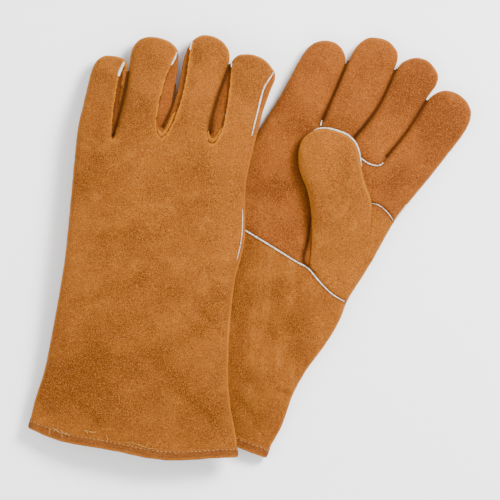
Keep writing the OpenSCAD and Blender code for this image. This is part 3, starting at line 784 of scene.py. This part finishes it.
def fold_relief(side, xy):
    """Height of the long soft folds and of the slow waves in the leather."""
    z = 0.55 * waves(xy, 46, 3.7 if side == "left" else 9.1) + 0.28 * waves(xy, 17, 5.3)
    for *ends, width, height in FOLDS[side]:
        line = straight(*ends)
        run = line[1] - line[0]
        share = (xy - line[0]) @ run / (run @ run)
        z += 1.7 * height * taper(share, 0.02, 0.6) * near(xy, line, width)
    return z


def soil_and_fold_shade(side, xy):
    """How dark the leather is: broad patches of soil from handling, and painted shade in the valleys of its
    folds.
    """
    amount = np.zeros(len(xy))
    for x, y, radius, strength in STAINS[side]:
        off = np.linalg.norm(xy - (x, y), axis=1) / radius
        amount += 1.2 * strength * np.exp(-off ** 2) * (1 + 0.8 * waves(xy, 15, 1.7))
    # Painted shade in the valleys of the folds
    for *ends, width, height in FOLDS[side]:
        if height < 0:
            amount -= 0.42 * height * near(xy, straight(*ends), 0.7 * width)
    amount += 0.45 * smoothstep(waves(xy, 33, 7.7) + 0.5 * waves(xy, 12, 3.1), 0.05, 0.55)
    return np.clip(amount, 0, 0.9)


def sink(side, xy):
    """How far the left glove hangs below its own level where nothing lies under it."""
    if side == "right":
        return np.zeros(len(xy))
    beside = SIDE_SINK * smoothstep(-xy[:, 0], 18, 84)
    at_tips = (TIP_SINK - 5 * smoothstep(xy[:, 0], 30, 65)) * smoothstep(xy[:, 1], 262, 325)
    return np.minimum(beside + at_tips, SIDE_SINK + 1.5)


def levels(side, xy):
    """Height of the middle of a glove, and half its thickness."""
    table = np.array(LEVELS[side], float)
    middle = np.interp(xy[:, 1], table[:, 0], table[:, 1]) - sink(side, xy)
    half = np.interp(xy[:, 1], table[:, 0], table[:, 2])
    return middle, half


def finger_of(glove, xy):
    """The finger that each point belongs to, and the distance along that finger."""
    outside = []
    for ring in glove.finger_rings:
        off = distance(xy, ring, closed=True)
        outside.append(np.where(inside(xy, ring), -off, off))
    finger = np.argmin(np.array(outside), axis=0)
    along = np.array([along_axis(axis, xy)[1] for axis in FINGER_AXES[glove.side]])
    return finger, along[finger, np.arange(len(xy))]


class Glove:
    """The lines, the fullness and the heights of one glove."""

    def __init__(self, side):
        self.side = side
        edge = smooth_line(SILHOUETTE[side], 1.9)
        edge[1:-1] += 0.22 * np.stack([waves(edge[1:-1], 5, 1.3), waves(edge[1:-1], 5, 2.9)], axis=1)
        self.edge = edge
        # The outline of each finger: the part of the edge between the bottoms of its two gaps
        webs = [np.argmin(np.linalg.norm(edge - slot[-1], axis=1)) for slot in SLOTS[side]]
        beside = np.flatnonzero(edge[:, 1] > FINGERS_FROM)
        cuts = [beside[0], *webs, beside[-1]]
        self.finger_rings = [edge[first:last + 1] for first, last in zip(cuts[:-1], cuts[1:])]
        self.mouth = smooth_line(MOUTH[side], 2.2)
        # Below the mouth the outline runs straight on
        below = (0, -45.0)
        self.sides = np.vstack([edge[0] + below, edge, edge[-1] + below])
        self.fullness = Fullness(self.sides, ROUNDING)
        self.cuff_seam = self.cut(smooth_line(CUFF_SEAM[side], 2.0))
        self.finger_seam = self.cut(smooth_line(FINGER_SEAM[side], 2.0))
        self.seams_top = []
        self.seams_under = []
        self.back_edges = []
        if side == "left":
            self.seams_under = [self.cuff_seam, self.finger_seam]
            self.back_edges = [self.cut(smooth_line(line, 1.6)) for line in BACK_EDGES]
            self.index_seam = self.cut(smooth_line(INDEX_SEAM, 1.9))
        else:
            self.wing_seam = self.cut(smooth_line(WING_SEAM, 1.8))
            self.seams_top = [self.cuff_seam, self.finger_seam, self.wing_seam]

    def cut(self, line):
        """The part of a line that lies inside the glove."""
        return line[inside(line, self.sides) & (self.gap(line) > 0.3)]

    def mouth_y(self, x):
        """The place of the mouth along Y."""
        order = np.argsort(self.mouth[:, 0])
        return np.interp(x, self.mouth[order, 0], self.mouth[order, 1])

    def gap(self, xy):
        """Distance to the edge."""
        return distance(xy, self.sides)

    def slot_gap(self, xy):
        """Distance to the nearest place where two fingers touch."""
        return np.min([distance(xy, smooth_line(slot)) for slot in SLOTS[self.side]], axis=0)

    def outline(self, above):
        """The edge of the glove, closed by a line so far above its mouth."""
        bottom = self.mouth + (0, above)
        upper = self.edge[self.edge[:, 1] > max(bottom[0, 1], bottom[-1, 1]) + 1]
        return np.vstack([upper, bottom[1:-1]])

    def heights(self, xy, gap=None, relief=True):
        """Height of the upper and of the lower sheet."""
        gap = self.gap(xy) if gap is None else gap
        middle, half = levels(self.side, xy)
        full = self.fullness.at(xy, gap)
        high = middle + half * full
        low = middle - half * full
        if relief:
            soft = smoothstep(gap, 1.0, 9.0)
            groove = GROOVE_DEPTH * smoothstep(gap, 0, 3)
            high += (fold_relief(self.side, xy) - 0.9) * soft
            low += (0.5 * waves(xy, 34, 6.1) + 0.6) * soft
            for line in self.seams_top:
                high -= groove * near(xy, line, GROOVE_WIDTH)
            for line in self.seams_under:
                low += groove * near(xy, line, GROOVE_WIDTH)
            for line, drop in zip(self.back_edges, STRIP_DROP):
                within = inside(xy, line) & (gap > 0.05)
                off = distance(xy, line)
                high -= drop * smoothstep(off, 0.1, 1.3) * smoothstep(gap, 0, 1.8) * within
                high -= 0.7 * np.exp(-((off - 3.0) / 2.2) ** 2) * ~within * smoothstep(gap, 1, 4)
            if self.side == "left":
                high -= 0.8 * near(xy, self.index_seam, 1.2) * smoothstep(gap, 0, 2)
        low = np.minimum(low, high - 0.2)
        return np.maximum(high, FLOOR_GAP + 0.4), np.maximum(low, FLOOR_GAP)

    def build(self):
        """The leather of the whole glove as one skin, with painted highlight at its rims and painted shade
        in its gaps.
        """
        lines = self.seams_top + self.seams_under + self.back_edges
        if self.side == "left":
            lines.append(self.index_seam)
        xy, triangles = triangulate(self.outline(LEATHER_FROM), lines, EDGE_ROWS, 2.5)
        gap = self.gap(xy)
        skin = Skin(self.side, xy, triangles, *self.heights(xy, gap), gap < SEWN)
        # Painted highlight along the glove's edge
        skin.rim = (1.0 if self.side == "left" else 0.75) * near(skin.xy, self.sides, RIM_HIGHLIGHT_WIDTH)
        # Soil patches, with painted shade in the fold valleys
        skin.soil_and_fold_shade = soil_and_fold_shade(self.side, skin.xy)
        # Painted shade on the strips inside the cut edges of the back, darkest at those edges; just outside
        # them the back gets a painted highlight
        for line, dark in zip(self.back_edges, GAP_SHADE):
            within = inside(skin.xy, line)
            rim = np.where(within, 0, 0.8 * near(skin.xy, line, 1.3))
            skin.rim = np.maximum(np.where(within, 0.3 * skin.rim, skin.rim), rim * skin.is_top)
            depth = dark + (0.8 - dark) * near(skin.xy, line, 0.65)
            skin.shade = np.maximum(skin.shade, within * depth * skin.is_top)
        # Painted shade where fingers touch, with no rim highlight there
        for slot, width in zip(SLOTS[self.side], SLOT_SHADE[self.side]):
            skin.rim *= 1 - near(skin.xy, smooth_line(slot), 3.0)
            skin.darken(smooth_line(slot), width, 0.97)
        # Painted shade along the seams on top
        for line in self.seams_top:
            skin.darken(line, 1.5, 0.7)
        if self.side == "right":
            # Painted shadow of the thumb on the palm beside it, darkest at the foot of its wall
            skin.darken(smooth_line(THUMB_OUTLINE[1:12]), 3.2, 0.5)
            skin.darken(smooth_line(GUSSET_LOW), 2.3, 0.9)
        return skin


def lips(glove):
    """The rolled edges of the strips at the bottom of two gaps between the fingers."""
    cords = []
    for points, half_width in LIPS:
        line = smooth_line(points, 0.8)
        level = np.convolve(np.pad(glove.heights(line)[0], 6, mode="edge"), np.ones(13) / 13, "valid")
        ends = taper(np.linspace(0, 1, len(line)), 0.02, 0.45)
        path = np.column_stack([line, level - 0.2])
        cords.append(tube("left", path, half_width * ends, 1.5 * ends, 12))
    # A faint painted highlight on the lips
    fit(make_cords("left_gap_lips", cords, GOLDEN, SLOT_BACK, rim=0.35), "left")


def front_label(glove, xy):
    """The palm-side panel that each point belongs to."""
    side = glove.side
    cuff_y = np.interp(xy[:, 0], *np.array(CUFF_SEAM[side], float).T)
    names = np.full(len(xy), "palm_panel", dtype=object)
    names[xy[:, 1] < cuff_y] = "cuff_front"
    seam = np.array(FINGER_SEAM[side], float)
    above = np.interp(xy[:, 0], seam[:, 0], seam[:, 1])
    between = (xy[:, 0] > seam[0, 0]) & (xy[:, 0] < seam[-1, 0])
    names[between & (xy[:, 1] > above)] = "two_finger_front"
    if side == "right":
        names[inside(xy, np.array(WING, float)) & (names != "cuff_front")] = "thumb_base"
    return names


def split_labels(glove, skin):
    """The node that each face of the skin stands for."""
    side = glove.side
    xy = skin.middle
    gap = glove.gap(xy)
    finger, along = finger_of(glove, xy)
    in_finger = along > BEND_START
    front = skin.face_top == (side == "right")
    # Strips between the fingers: on the left glove's back inside its cut edges, elsewhere a narrow side
    strip = np.zeros(len(xy), bool)
    for line in glove.back_edges:
        strip |= inside(xy, line) & skin.face_top
    outer = (finger == 0) & (along_axis(FINGER_AXES[side][0], xy)[0] < 0)
    outer |= (finger == 3) & (along_axis(FINGER_AXES[side][3], xy)[0] > 0)
    low_side = ~skin.face_top & (gap < SIDE_BELOW) & ~outer
    high_side = skin.face_top & (gap < SIDE_ABOVE) & ~outer & (side == "right")
    strip |= (low_side | high_side) & (along > 2)
    if side == "left":
        beyond = np.interp(xy[:, 1], *np.array(INDEX_SEAM, float)[::-1, ::-1].T)
        rolled = skin.face_top & (xy[:, 0] > beyond) & (xy[:, 1] < 322) & (xy[:, 0] > 60)
        front = front | rolled
    labels = np.full(len(xy), "back_panel", dtype=object)
    labels[front] = front_label(glove, xy)[front]
    labels[strip] = "forchettes"
    for k, name in enumerate(FINGERS):
        here = in_finger & (finger == k)
        labels[here] = f"{name}_back"
        labels[here & front] = f"{name}_front"
        labels[here & strip] = f"{name}_sides"
    return labels


def panels(glove, skin, labels):
    """Cuts the skin into the leather panels."""
    for label in sorted(set(labels) - {"thumb_base"}):
        is_back = label.endswith("back") or label == "back_panel"
        is_strip = label.endswith("sides") or label == "forchettes"
        material = GOLDEN if is_back else STRIP if is_strip else CUFF if label == "cuff_front" else ORANGE
        slot = SLOT_BACK if is_back or is_strip else SLOT_FRONT
        obj = skin.piece(f"{glove.side}_{label}_leather", labels == label, material, slot)
        fit(obj, glove.side, label, label.split("_")[0])


def lining(glove):
    """The cotton bag inside the leather, open at the mouth of the cuff."""
    side = glove.side
    inner = inner_ring(glove.outline(LINING_FROM), LINING_INSET, 3.4)
    xy, triangles = triangulate(inner, [], LINING_ROWS, 5.0)
    gap = glove.gap(xy)
    high, low = glove.heights(xy, gap, relief=False)
    middle = (high + low) / 2
    inward = np.maximum(gap - 3.2, 0)
    half = np.maximum((high - low) / 2 - LINING_INSET, 0.1) * np.sqrt(1 - np.exp(-inward / 3.0))
    at_mouth = xy[:, 1] < glove.mouth_y(xy[:, 0]) + LINING_FROM + 0.6
    joined = (distance(xy, inner, closed=True) < SEWN) & ~at_mouth
    half[joined] = 0
    skin = Skin(side, xy, triangles, middle + half, middle - half, joined)
    finger, along = finger_of(glove, skin.middle)
    cuff_y = np.interp(skin.middle[:, 0], *np.array(CUFF_SEAM[side], float).T)
    labels = np.where(skin.middle[:, 1] < cuff_y, "cuff", "hand").astype(object)
    for k, name in enumerate(FINGERS):
        labels[(along > BEND_START) & (finger == k)] = name
    for label in sorted(set(labels)):
        obj = skin.piece(f"{side}_{label}_cotton", labels == label, COTTON, "cotton_lining")
        fit(obj, side, f"{label}_lining", label)


# ---- Hem ----

def section(glove, rise, count=150):
    """A closed line round the cuff so far above its mouth, and the directions outward from it. It runs
    from the little-finger corner over the top and back underneath."""
    share = (1 - np.cos(np.linspace(0, math.pi, count))) / 2
    beyond = np.flatnonzero(glove.edge[:, 1] > 150)
    left_edge = glove.edge[:beyond[0]]
    right_edge = glove.edge[beyond[-1] + 1:][::-1]
    x0 = np.interp(glove.mouth[-1, 1] + rise, left_edge[:, 1], left_edge[:, 0])
    x1 = np.interp(glove.mouth[0, 1] + rise, right_edge[:, 1], right_edge[:, 0])
    x = x0 + (x1 - x0) * share
    y = glove.mouth_y(x) + rise
    high, low = glove.heights(np.column_stack([x, y]), np.minimum(x - x0, x1 - x))
    under = np.column_stack([x, y, low])[::-1]
    loop = np.vstack([np.column_stack([x, y, high]), under[1:-1]])
    run = np.roll(loop, -1, axis=0) - np.roll(loop, 1, axis=0)
    return loop, unit(np.column_stack([-run[:, 2], np.zeros(len(loop)), run[:, 0]]))


def hem(glove):
    """The binding: one strip folded over the mouth, outside and inside."""
    side = glove.side
    # The fold at the mouth is uneven, in a way that differs from glove to glove
    shift = (0, 40 if side == "left" else 0)
    rows = []
    for rise, lift, _ in HEM_PROFILE:
        loop, out = section(glove, rise)
        if rise < 3 and lift > -0.9:
            loop[:, 1] += 0.35 * waves(loop[:, :2] + shift, 9, 4.4)
        row = loop + out * (lift + 0.12 * waves(loop[:, :2], 6, 8.8))[:, None]
        row[:, 2] = np.maximum(row[:, 2], 0.05)
        rows.append(row)
    count = len(rows[0])
    # Painted highlight along the binding's edges and its fold
    rim = np.repeat([rim_highlight_share for _, _, rim_highlight_share in HEM_PROFILE], count)
    obj = make_mesh(f"{side}_hem_leather", to_world(side, np.vstack(rows)), grid_faces(len(rows), count),
                    BINDING, "hem_binding", rim=rim)
    fit(obj, side, "cuff_hem")


def hem_stitches(glove):
    """A row of stitches through the binding, seen on its outside all the way round."""
    side = glove.side
    loop, out = section(glove, HEM_STITCH_AT, 400)
    line = np.hstack([loop + out * 0.75, out])
    fine = resample(np.vstack([line, line[:1]]), STITCH_GRAIN)
    step = STITCH_PITCH / STITCH_GRAIN
    cords = []
    for k in range(int(len(fine) / step)):
        at = int(k * step)
        uneven = 0.85 + 0.3 * noise.noise(Vector((k * 0.7, 2.2, 0)))
        length = int(STITCH_LENGTH / STITCH_GRAIN * uneven)
        if at + length >= len(fine):
            break
        dash = fine[at:at + length + 1]
        arch = taper(np.linspace(0, 1, len(dash)), 0, 0.5)
        depth = 0.32 * arch - 0.25 + 0.12 * noise.noise(Vector((k * 0.31, 7.0, 0)))
        path = dash[:, :3] + dash[:, 3:] * depth[:, None]
        path[:, 1] += 0.25 * noise.noise(Vector((k * 1.3, 0.5, 0)))
        path[:, 2] = np.maximum(path[:, 2], FLOOR_GAP)
        cords.append(tube(side, path, 0.22, 0.24, 6))
    fit(make_cords(f"{side}_hem_stitches", cords, THREAD, "yellow_thread"), side, "hem_stitching")


# Loose ends of thread on the left cuff: X, Y of the start, direction in degrees, length and curl
LOOSE_ENDS = (
    (-70.6, -3.4, 84, 6.2, 4), (-68, 2.4, -40, 6, 60), (-66, 1.2, -12, 9, -25), (-60.5, 1.6, -75, 6, 55),
    (-57, -1.6, 30, 5, -60), (-41, 3.4, 12, 4, -55), (-37.4, 3.2, -8, 6.5, 12), (-21, -1.6, 96, 3.8, 25),
    (-5, -2.4, 20, 5, -70), (-2, -1.4, -20, 8, 10), (5, -3.2, -6, 7.5, -8), (13, -5, -10, 5, 16),
)


def loose_threads(glove):
    """Short ends of thread that stick out of the left hem."""
    cords = []
    steps = np.linspace(0, 1, 12)
    for x, y, heading, length, curl in LOOSE_ENDS:
        angle = np.radians(heading + curl * steps * 2)[:-1]
        pace = length / len(angle)
        xs = x + np.concatenate([[0], np.cumsum(np.cos(angle) * pace)])
        ys = y + np.concatenate([[0], np.cumsum(np.sin(angle) * pace)])
        z = glove.heights(np.column_stack([xs, ys]))[0] + 1.1 + 0.5 * np.sin(steps * math.pi)
        cords.append(tube("left", np.column_stack([xs, ys, z]), 0.19, 0.19, 6))
    fit(make_cords("left_loose_threads", cords, THREAD, "yellow_thread"), "left")


# ---- Welts ----

def welt(line, z, size=1.0, seed=0.0):
    """The path and the half width and height of a strip of welting along a line, frayed a little."""
    fray = 1 + 0.312 * waves(line, 2.2, seed) + 0.12 * waves(line, 0.9, seed + 3)
    fray *= taper(np.linspace(0, 1, len(line)), 0.03, 0.22)
    z = np.maximum(z, WELT_HALF_HEIGHT * size * 1.4 + 0.1)
    path = np.column_stack([line + 0.0144 * waves(line, 3, seed)[:, None], z])
    return path, WELT_HALF_WIDTH * size * fray, WELT_HALF_HEIGHT * min(size, 1.1) * fray


def welt_object(name, side, strips, replaced=None, part=None):
    """One object of several strips of welting."""
    cords = [tube(side, *strip) for strip in strips]
    fit(make_cords(name, cords, WHITE, "white_welting"), side, replaced, part)


def runs(line, keep):
    """The unbroken stretches of a line where keep is true."""
    found = []
    start = None
    for k, good in enumerate(list(keep) + [False]):
        if good and start is None:
            start = k
        if not good and start is not None:
            if k - start > 3:
                found.append(line[start:k])
            start = None
    return found


def welts(glove):
    """White strips in the seams: raised on the panel seams, sunk along the silhouette."""
    side = glove.side
    strips = {name: [] for name in (None, *FINGERS)}

    def place(line, sheet, rise, size, seed=0.0):
        """Lays a strip on the upper or under the lower sheet, and sorts it by the finger it lies on."""
        finger, along = finger_of(glove, line)
        for k, name in enumerate((*FINGERS, None)):
            here = (along > BEND_START) & (finger == k) if name else along <= BEND_START + 1
            for part in runs(line, here):
                strips[name].append(welt(part, glove.heights(part)[sheet] + rise, size, seed))

    cuff = resample(glove.cuff_seam, 1.0)
    fingers = resample(glove.finger_seam, 1.0)
    if side == "right":
        place(cuff, TOP, 0.45, 1.0)
        place(fingers[fingers[:, 1] < 266], TOP, 0.35, 0.95, 2.0)
        place(smooth_line(((4.3, 278), (4.7, 274.5), (5.6, 270.5)), 1.0), TOP, 0.1, 0.75, 2.5)
        place(resample(glove.wing_seam, 1.0), TOP, -0.05, 0.5, 3.0)
        edge = resample(smooth_line(((95.6, 224.5), (97.2, 233), (99.4, 242.5))), 1.0) - (0.5, 0)
        place(edge, TOP, 0.1, 0.5, 3.5)
    else:
        place(cuff, UNDER, -0.2, 1.0)
        place(fingers, UNDER, -0.2, 0.95, 2.0)
        seam = resample(glove.index_seam, 1.0)
        for part in runs(seam, seam[:, 1] > 262):
            place(part, TOP, 0.55, 0.95, 4.0)
        for part in runs(seam, (seam[:, 1] < 203) & (seam[:, 1] > 160)):
            place(part, TOP, 0.2, 0.55, 5.0)
        for number, (line, (at_start, at_end, size)) in enumerate(zip(glove.back_edges, EDGE_WELTS)):
            fine = resample(line, 1.0)
            along = np.arange(len(fine))
            for part in runs(fine, along < at_start) + runs(fine, along > len(fine) - at_end):
                place(part, TOP, -0.1, size, 6.0 + number)
    # The seam between back and front shows as a thin line all round
    inward = inset_ring(glove.sides, 0.6)
    edge = resample(inward[inward[:, 1] > 2], 1.2)
    for part in runs(edge, glove.slot_gap(edge) > WELT_CLEARANCE):
        place(part, UNDER, -0.15, 0.5, 8.0)
    for name, found in strips.items():
        welt_object(f"{side}_{name or 'hand'}_welts", side, found, None if name else "seam_welts", name)


def gap_strips(glove):
    """The edges of the strips between the fingers, which meet in each gap and close it; they carry painted
    shade, as a dark line in the gap.
    """
    side = glove.side
    cords = {}
    edge = resample(glove.edge, 1.2)
    for run in runs(edge, glove.slot_gap(edge) < STRIP_REACH):
        finger = finger_of(glove, run)[0]
        for k, name in enumerate(FINGERS):
            for part in runs(run, finger == k):
                along = along_axis(FINGER_AXES[side][k], part)[1]
                for key, here in ((name, along > BEND_START - 1.5), ("hand", along <= BEND_START)):
                    for piece in runs(part, here):
                        level, half = levels(side, piece)
                        path = np.column_stack([piece, level + 0.1 * half])
                        cords.setdefault(key, []).append(tube(side, path, 0.85, 1.4))
    for key, found in cords.items():
        # Painted shade: the cords are drawn dark
        obj = make_cords(f"{side}_{key}_gap_edges", found, STRIP, SLOT_BACK, shade=0.8)
        fit(obj, side, part=key)


# ---- Thumbs ----

def thumb_leather(side, ring, sheets, rows_at, spacing, back_on_top, marks):
    """The back and the front of a thumb. Gives the skin, and its faces that stay with the glove."""
    xy, triangles = triangulate(ring, [], rows_at, spacing)
    gap = distance(xy, ring, closed=True)
    thumb = Skin(side, xy, triangles, *sheets(xy, gap), gap < SEWN)
    thumb.rim, thumb.soil_and_fold_shade = marks(thumb.xy)
    moves = along_axis(THUMB_AXES[side], thumb.middle)[1] > THUMB_BEND[side][0]
    is_back = thumb.face_top == back_on_top
    for label, faces, material, slot in (
            ("back", is_back, GOLDEN, SLOT_BACK), ("front", ~is_back, ORANGE, SLOT_FRONT)):
        obj = thumb.piece(f"{side}_thumb_{label}_leather", moves & faces, material, slot)
        fit(obj, side, f"thumb_{label}", "thumb")
    return thumb, ~moves


def thumb_lining(side, ring, sheets, inset, shrink, starts_at):
    """The cotton bag inside a thumb."""
    inner = inner_ring(ring, inset, 3.0)
    xy, triangles = triangulate(inner, [], LINING_ROWS, 4.5)
    triangles = triangles[along_axis(THUMB_AXES[side], xy[triangles].mean(1))[1] > starts_at]
    high, low = sheets(xy, distance(xy, ring, closed=True), shrink)
    bag = Skin(side, xy, triangles, high, low, distance(xy, inner, closed=True) < SEWN)
    obj = bag.piece(f"{side}_thumb_cotton", np.ones(len(bag.faces), bool), COTTON, "cotton_lining")
    fit(obj, side, "thumb_lining", "thumb")


THUMB_THICK = 19.4
# The right thumb rises out of the palm along this line, and has its full thickness at the second place
THUMB_RISE_FROM = (90, 190)
THUMB_RISE_TOWARD = (-0.848, 0.53)
THUMB_RISE = (2, 58)
# The lowest level on which the thumb lies, how much higher that is at the tip, and where the tip is
THUMB_REST = 14.0
THUMB_TIP_LIFT = 4.4
THUMB_TIP = (62, 84)
# The part of its edge that has a white welt
THUMB_WELT = (
    (1.8, 264.6), (4.5, 267.6), (9, 270.3), (15.5, 272.2), (26.1, 273.4), (34.2, 271.9), (41, 267.7),
    (46.2, 261.6), (50.8, 254.4),
)


def rise_along(xy):
    """Distance along the line on which the right thumb rises."""
    return (xy - np.array(THUMB_RISE_FROM)) @ np.array(THUMB_RISE_TOWARD)


def right_thumb(glove, skin, labels):
    """The right thumb, which rises out of the palm and lies on it."""
    side = "right"
    ring = smooth_line(THUMB_OUTLINE, 1.9, closed=True)
    fullness = Fullness(ring, 8.0)

    def sheets(xy, gap, shrink=0.0):
        """Height of the upper and of the lower side of the thumb."""
        run = rise_along(xy)
        # The tip bridges the dip where the fingers part
        rest = THUMB_REST + THUMB_TIP_LIFT * smoothstep(run, *THUMB_TIP)
        palm = np.maximum(glove.heights(xy)[TOP], rest)
        thick = THUMB_THICK * smoothstep(run, *THUMB_RISE)
        half = np.maximum(thick / 2 - shrink, 0.05) * fullness.at(xy, gap)
        middle = palm + thick / 2 + 0.95 * smoothstep(run, 4, 26) - 0.6
        lumps = (0.5 * waves(xy, 21, 12.0) + 0.25 * waves(xy, 9, 4.0)) * smoothstep(run, 20, 50)
        return middle + half + lumps * smoothstep(gap, 1, 9) * (shrink == 0), middle - half * 0.96

    def marks(xy):
        """The painted rim highlight, and the soil with its painted fold shade."""
        rim = near(xy, ring, 1.4, closed=True) * smoothstep(rise_along(xy), 20, 45)
        return rim, 0.5 * soil_and_fold_shade(side, xy + (40, 11))

    thumb, stays = thumb_leather(side, ring, sheets, EDGE_ROWS, 2.4, True, marks)
    fit(thumb.piece("right_thumb_root_leather", stays, GOLDEN, SLOT_BACK), side)
    wing = skin.piece("right_thumb_base_leather", labels == "thumb_base", GOLDEN, SLOT_BACK)
    fit(wing, side, "thumb_base")
    thumb_lining(side, ring, sheets, LINING_INSET, 3.2, 8)
    thumb_welt(sheets)
    gusset(glove, sheets)


def thumb_welt(sheets):
    """The welt round the tip of the right thumb, thinner toward its ends."""
    arc = smooth_line(THUMB_WELT, 1.0)
    high = sheets(arc, np.full(len(arc), 0.3))[TOP]
    swell = np.sin(np.linspace(0.12, math.pi - 0.12, len(arc))) ** 0.5
    path, half_width, half_height = welt(arc, high + 0.6, seed=11.0)
    strip = (path, half_width * swell * 1.25, half_height * swell * 1.3)
    welt_object("right_thumb_welt", "right", [strip], part="thumb")


def gusset(glove, sheets):
    """The wall beside the base of the right thumb, from the palm up to the thumb."""
    count = 24
    # Painted shadow at the foot of the wall and painted shade at its seam with the thumb, row by row from
    # the palm up
    painted_shade_rows = (0.95, 0.6, 0.1, 0.0, 0.0, 0.2, 0.9)
    foot, head = (resample(smooth_line(line, 1.5), 1.0) for line in (GUSSET_LOW, GUSSET_HIGH))
    foot, head = (line[np.linspace(0, len(line) - 1, count).astype(int)] for line in (foot, head))
    z_foot = glove.heights(foot)[TOP] - 0.3
    z_head = sum(sheets(head, np.full(count, 0.6))) / 2 + 0.4
    rows = []
    for t in np.linspace(0, 1, len(painted_shade_rows)):
        bulge = math.sin(math.pi * t) * 0.8
        xy = foot * (1 - t) + head * t - (bulge * 0.7, 0)
        rows.append(np.column_stack([xy, z_foot * (1 - t) + z_head * t + bulge]))
    obj = make_mesh("right_thumb_gusset", to_world("right", np.vstack(rows)),
                    grid_faces(len(rows), count, closed=False), STRIP, SLOT_FRONT,
                    shade=np.repeat(painted_shade_rows, count))
    solid = obj.modifiers.new("leather", "SOLIDIFY")
    solid.thickness = 1.2 * MM
    apply_modifiers(obj)
    fit(obj, "right", part="thumb")


def apply_modifiers(obj):
    """Keeps the mesh as its modifiers make it."""
    graph = bpy.context.evaluated_depsgraph_get()
    made = bpy.data.meshes.new_from_object(obj.evaluated_get(graph))
    obj.modifiers.clear()
    obj.data = made


# The left thumb's outline, across and along it, and the height of its middle and half its thickness
LEFT_THUMB = (
    (-21, -13), (-24, 0), (-24, 30), (-24, 50), (-23.5, 72), (-20, 87), (-11, 96), (0, 98.5), (11, 96),
    (20, 87), (23.5, 72), (24, 50), (24, 30), (24, 0), (21, -13), (0, -13.5),
)
LEFT_THUMB_LEVELS = ((-30, 22.8, 1.6), (28, 22.8, 1.6), (48, 14.6, 9.2), (120, 11.6, 10.2))


def left_thumb():
    """The left thumb, flat under its own palm."""
    side = "left"
    axis = THUMB_AXES[side]
    ring = smooth_line([on_axis(axis, *p) for p in LEFT_THUMB], 2.0, closed=True)
    fullness = Fullness(ring, ROUNDING)
    places, middles, halves = np.array(LEFT_THUMB_LEVELS, float).T

    def sheets(xy, gap, shrink=0.0):
        """Height of the upper and of the lower side of the thumb."""
        along = along_axis(axis, xy)[1]
        middle = np.interp(along, places, middles)
        half = np.maximum(np.interp(along, places, halves) - shrink, 0.05) * fullness.at(xy, gap)
        lumps = 0.4 * waves(xy, 19, 2.0) * smoothstep(gap, 2, 9) * smoothstep(along, 30, 50)
        return np.minimum(middle + half + lumps, 24.2), np.maximum(middle - half + lumps, FLOOR_GAP)

    def marks(xy):
        """The painted rim highlight, and no soil."""
        return 0.7 * near(xy, ring, 1.5, closed=True), np.zeros(len(xy))

    thumb, stays = thumb_leather(side, ring, sheets, (0.4, 1.3, 3.0), 3.2, False, marks)
    fit(thumb.piece("left_thumb_base_leather", stays, ORANGE, SLOT_FRONT), side, "thumb_base")
    thumb_lining(side, ring, sheets, 3.2, 2.8, 44)
    arc = ring[along_axis(axis, ring)[1] > 40]
    arc = resample(arc[np.argsort(along_axis(axis, arc)[0])], 1.5)
    level = sum(sheets(arc, np.full(len(arc), 0.3))) / 2
    welt_object("left_thumb_welt", side, [welt(arc, level, 0.9, 14.0)], part="thumb")


# ---- Stage ----

def make_floor():
    """A pale, matt floor."""
    n = Nodes("pale_floor")
    where = n.add("ShaderNodeTexCoord", {}).outputs["Object"]
    tone = n.noise(where, 3.0, 2.0)
    colour = n.mix(tone, (0.90, 0.90, 0.90), (0.93, 0.93, 0.93))
    normal = n.bump(n.noise(where, 400, 2.0), 0.0001, 0.1)
    reach = 4.0
    corners = ((-reach, -reach, 0), (reach, -reach, 0), (reach, reach, 0), (-reach, reach, 0))
    mesh = bpy.data.meshes.new("floor")
    mesh.from_pydata(corners, [], [(0, 1, 2, 3)])
    mesh.materials.append(n.surface(colour, normal, n.ramp(tone, 0.3, 0.7, 0.7, 0.8), specular=0.1))
    add_object("floor", mesh)


def area_light(name, place, size, power):
    """A soft light that looks at the middle of the scene."""
    light = bpy.data.lights.new(name, "AREA")
    light.size = size
    light.energy = power
    obj = add_object(name, light)
    obj.location = place
    obj.rotation_euler = (-Vector(place)).to_track_quat("-Z", "Y").to_euler()


def make_lights():
    area_light("key", (0.85, 0.70, 1.35), 0.6, 82)
    area_light("fill", (-1.2, -0.4, 1.6), 1.6, 20)
    area_light("front", (0.1, -1.4, 1.5), 1.4, 12)
    world = bpy.data.worlds.new("studio")
    world.use_nodes = True
    world.node_tree.nodes["Background"].inputs["Color"].default_value = (1, 1, 1, 1)
    world.node_tree.nodes["Background"].inputs["Strength"].default_value = 1.3
    bpy.context.scene.world = world


def make_camera():
    """Straight above, from so far away that the heights of the gloves hardly change their outline."""
    middle = (0.0008, -0.0014)
    height = 6.0
    view_width = 0.419
    view_level = 0.02
    camera = bpy.data.cameras.new("camera")
    camera.sensor_width = 36.0
    camera.lens = camera.sensor_width * (height - view_level) / view_width
    obj = add_object("camera", camera)
    obj.location = (*middle, height)
    bpy.context.scene.camera = obj


make_camera()
make_floor()
make_lights()
for glove_side in ("right", "left"):
    made_glove = Glove(glove_side)
    made_skin = made_glove.build()
    made_labels = split_labels(made_glove, made_skin)
    panels(made_glove, made_skin, made_labels)
    for make in (lining, hem, hem_stitches, welts, gap_strips):
        make(made_glove)
    if glove_side == "right":
        right_thumb(made_glove, made_skin, made_labels)
    else:
        left_thumb()
        lips(made_glove)
        loose_threads(made_glove)
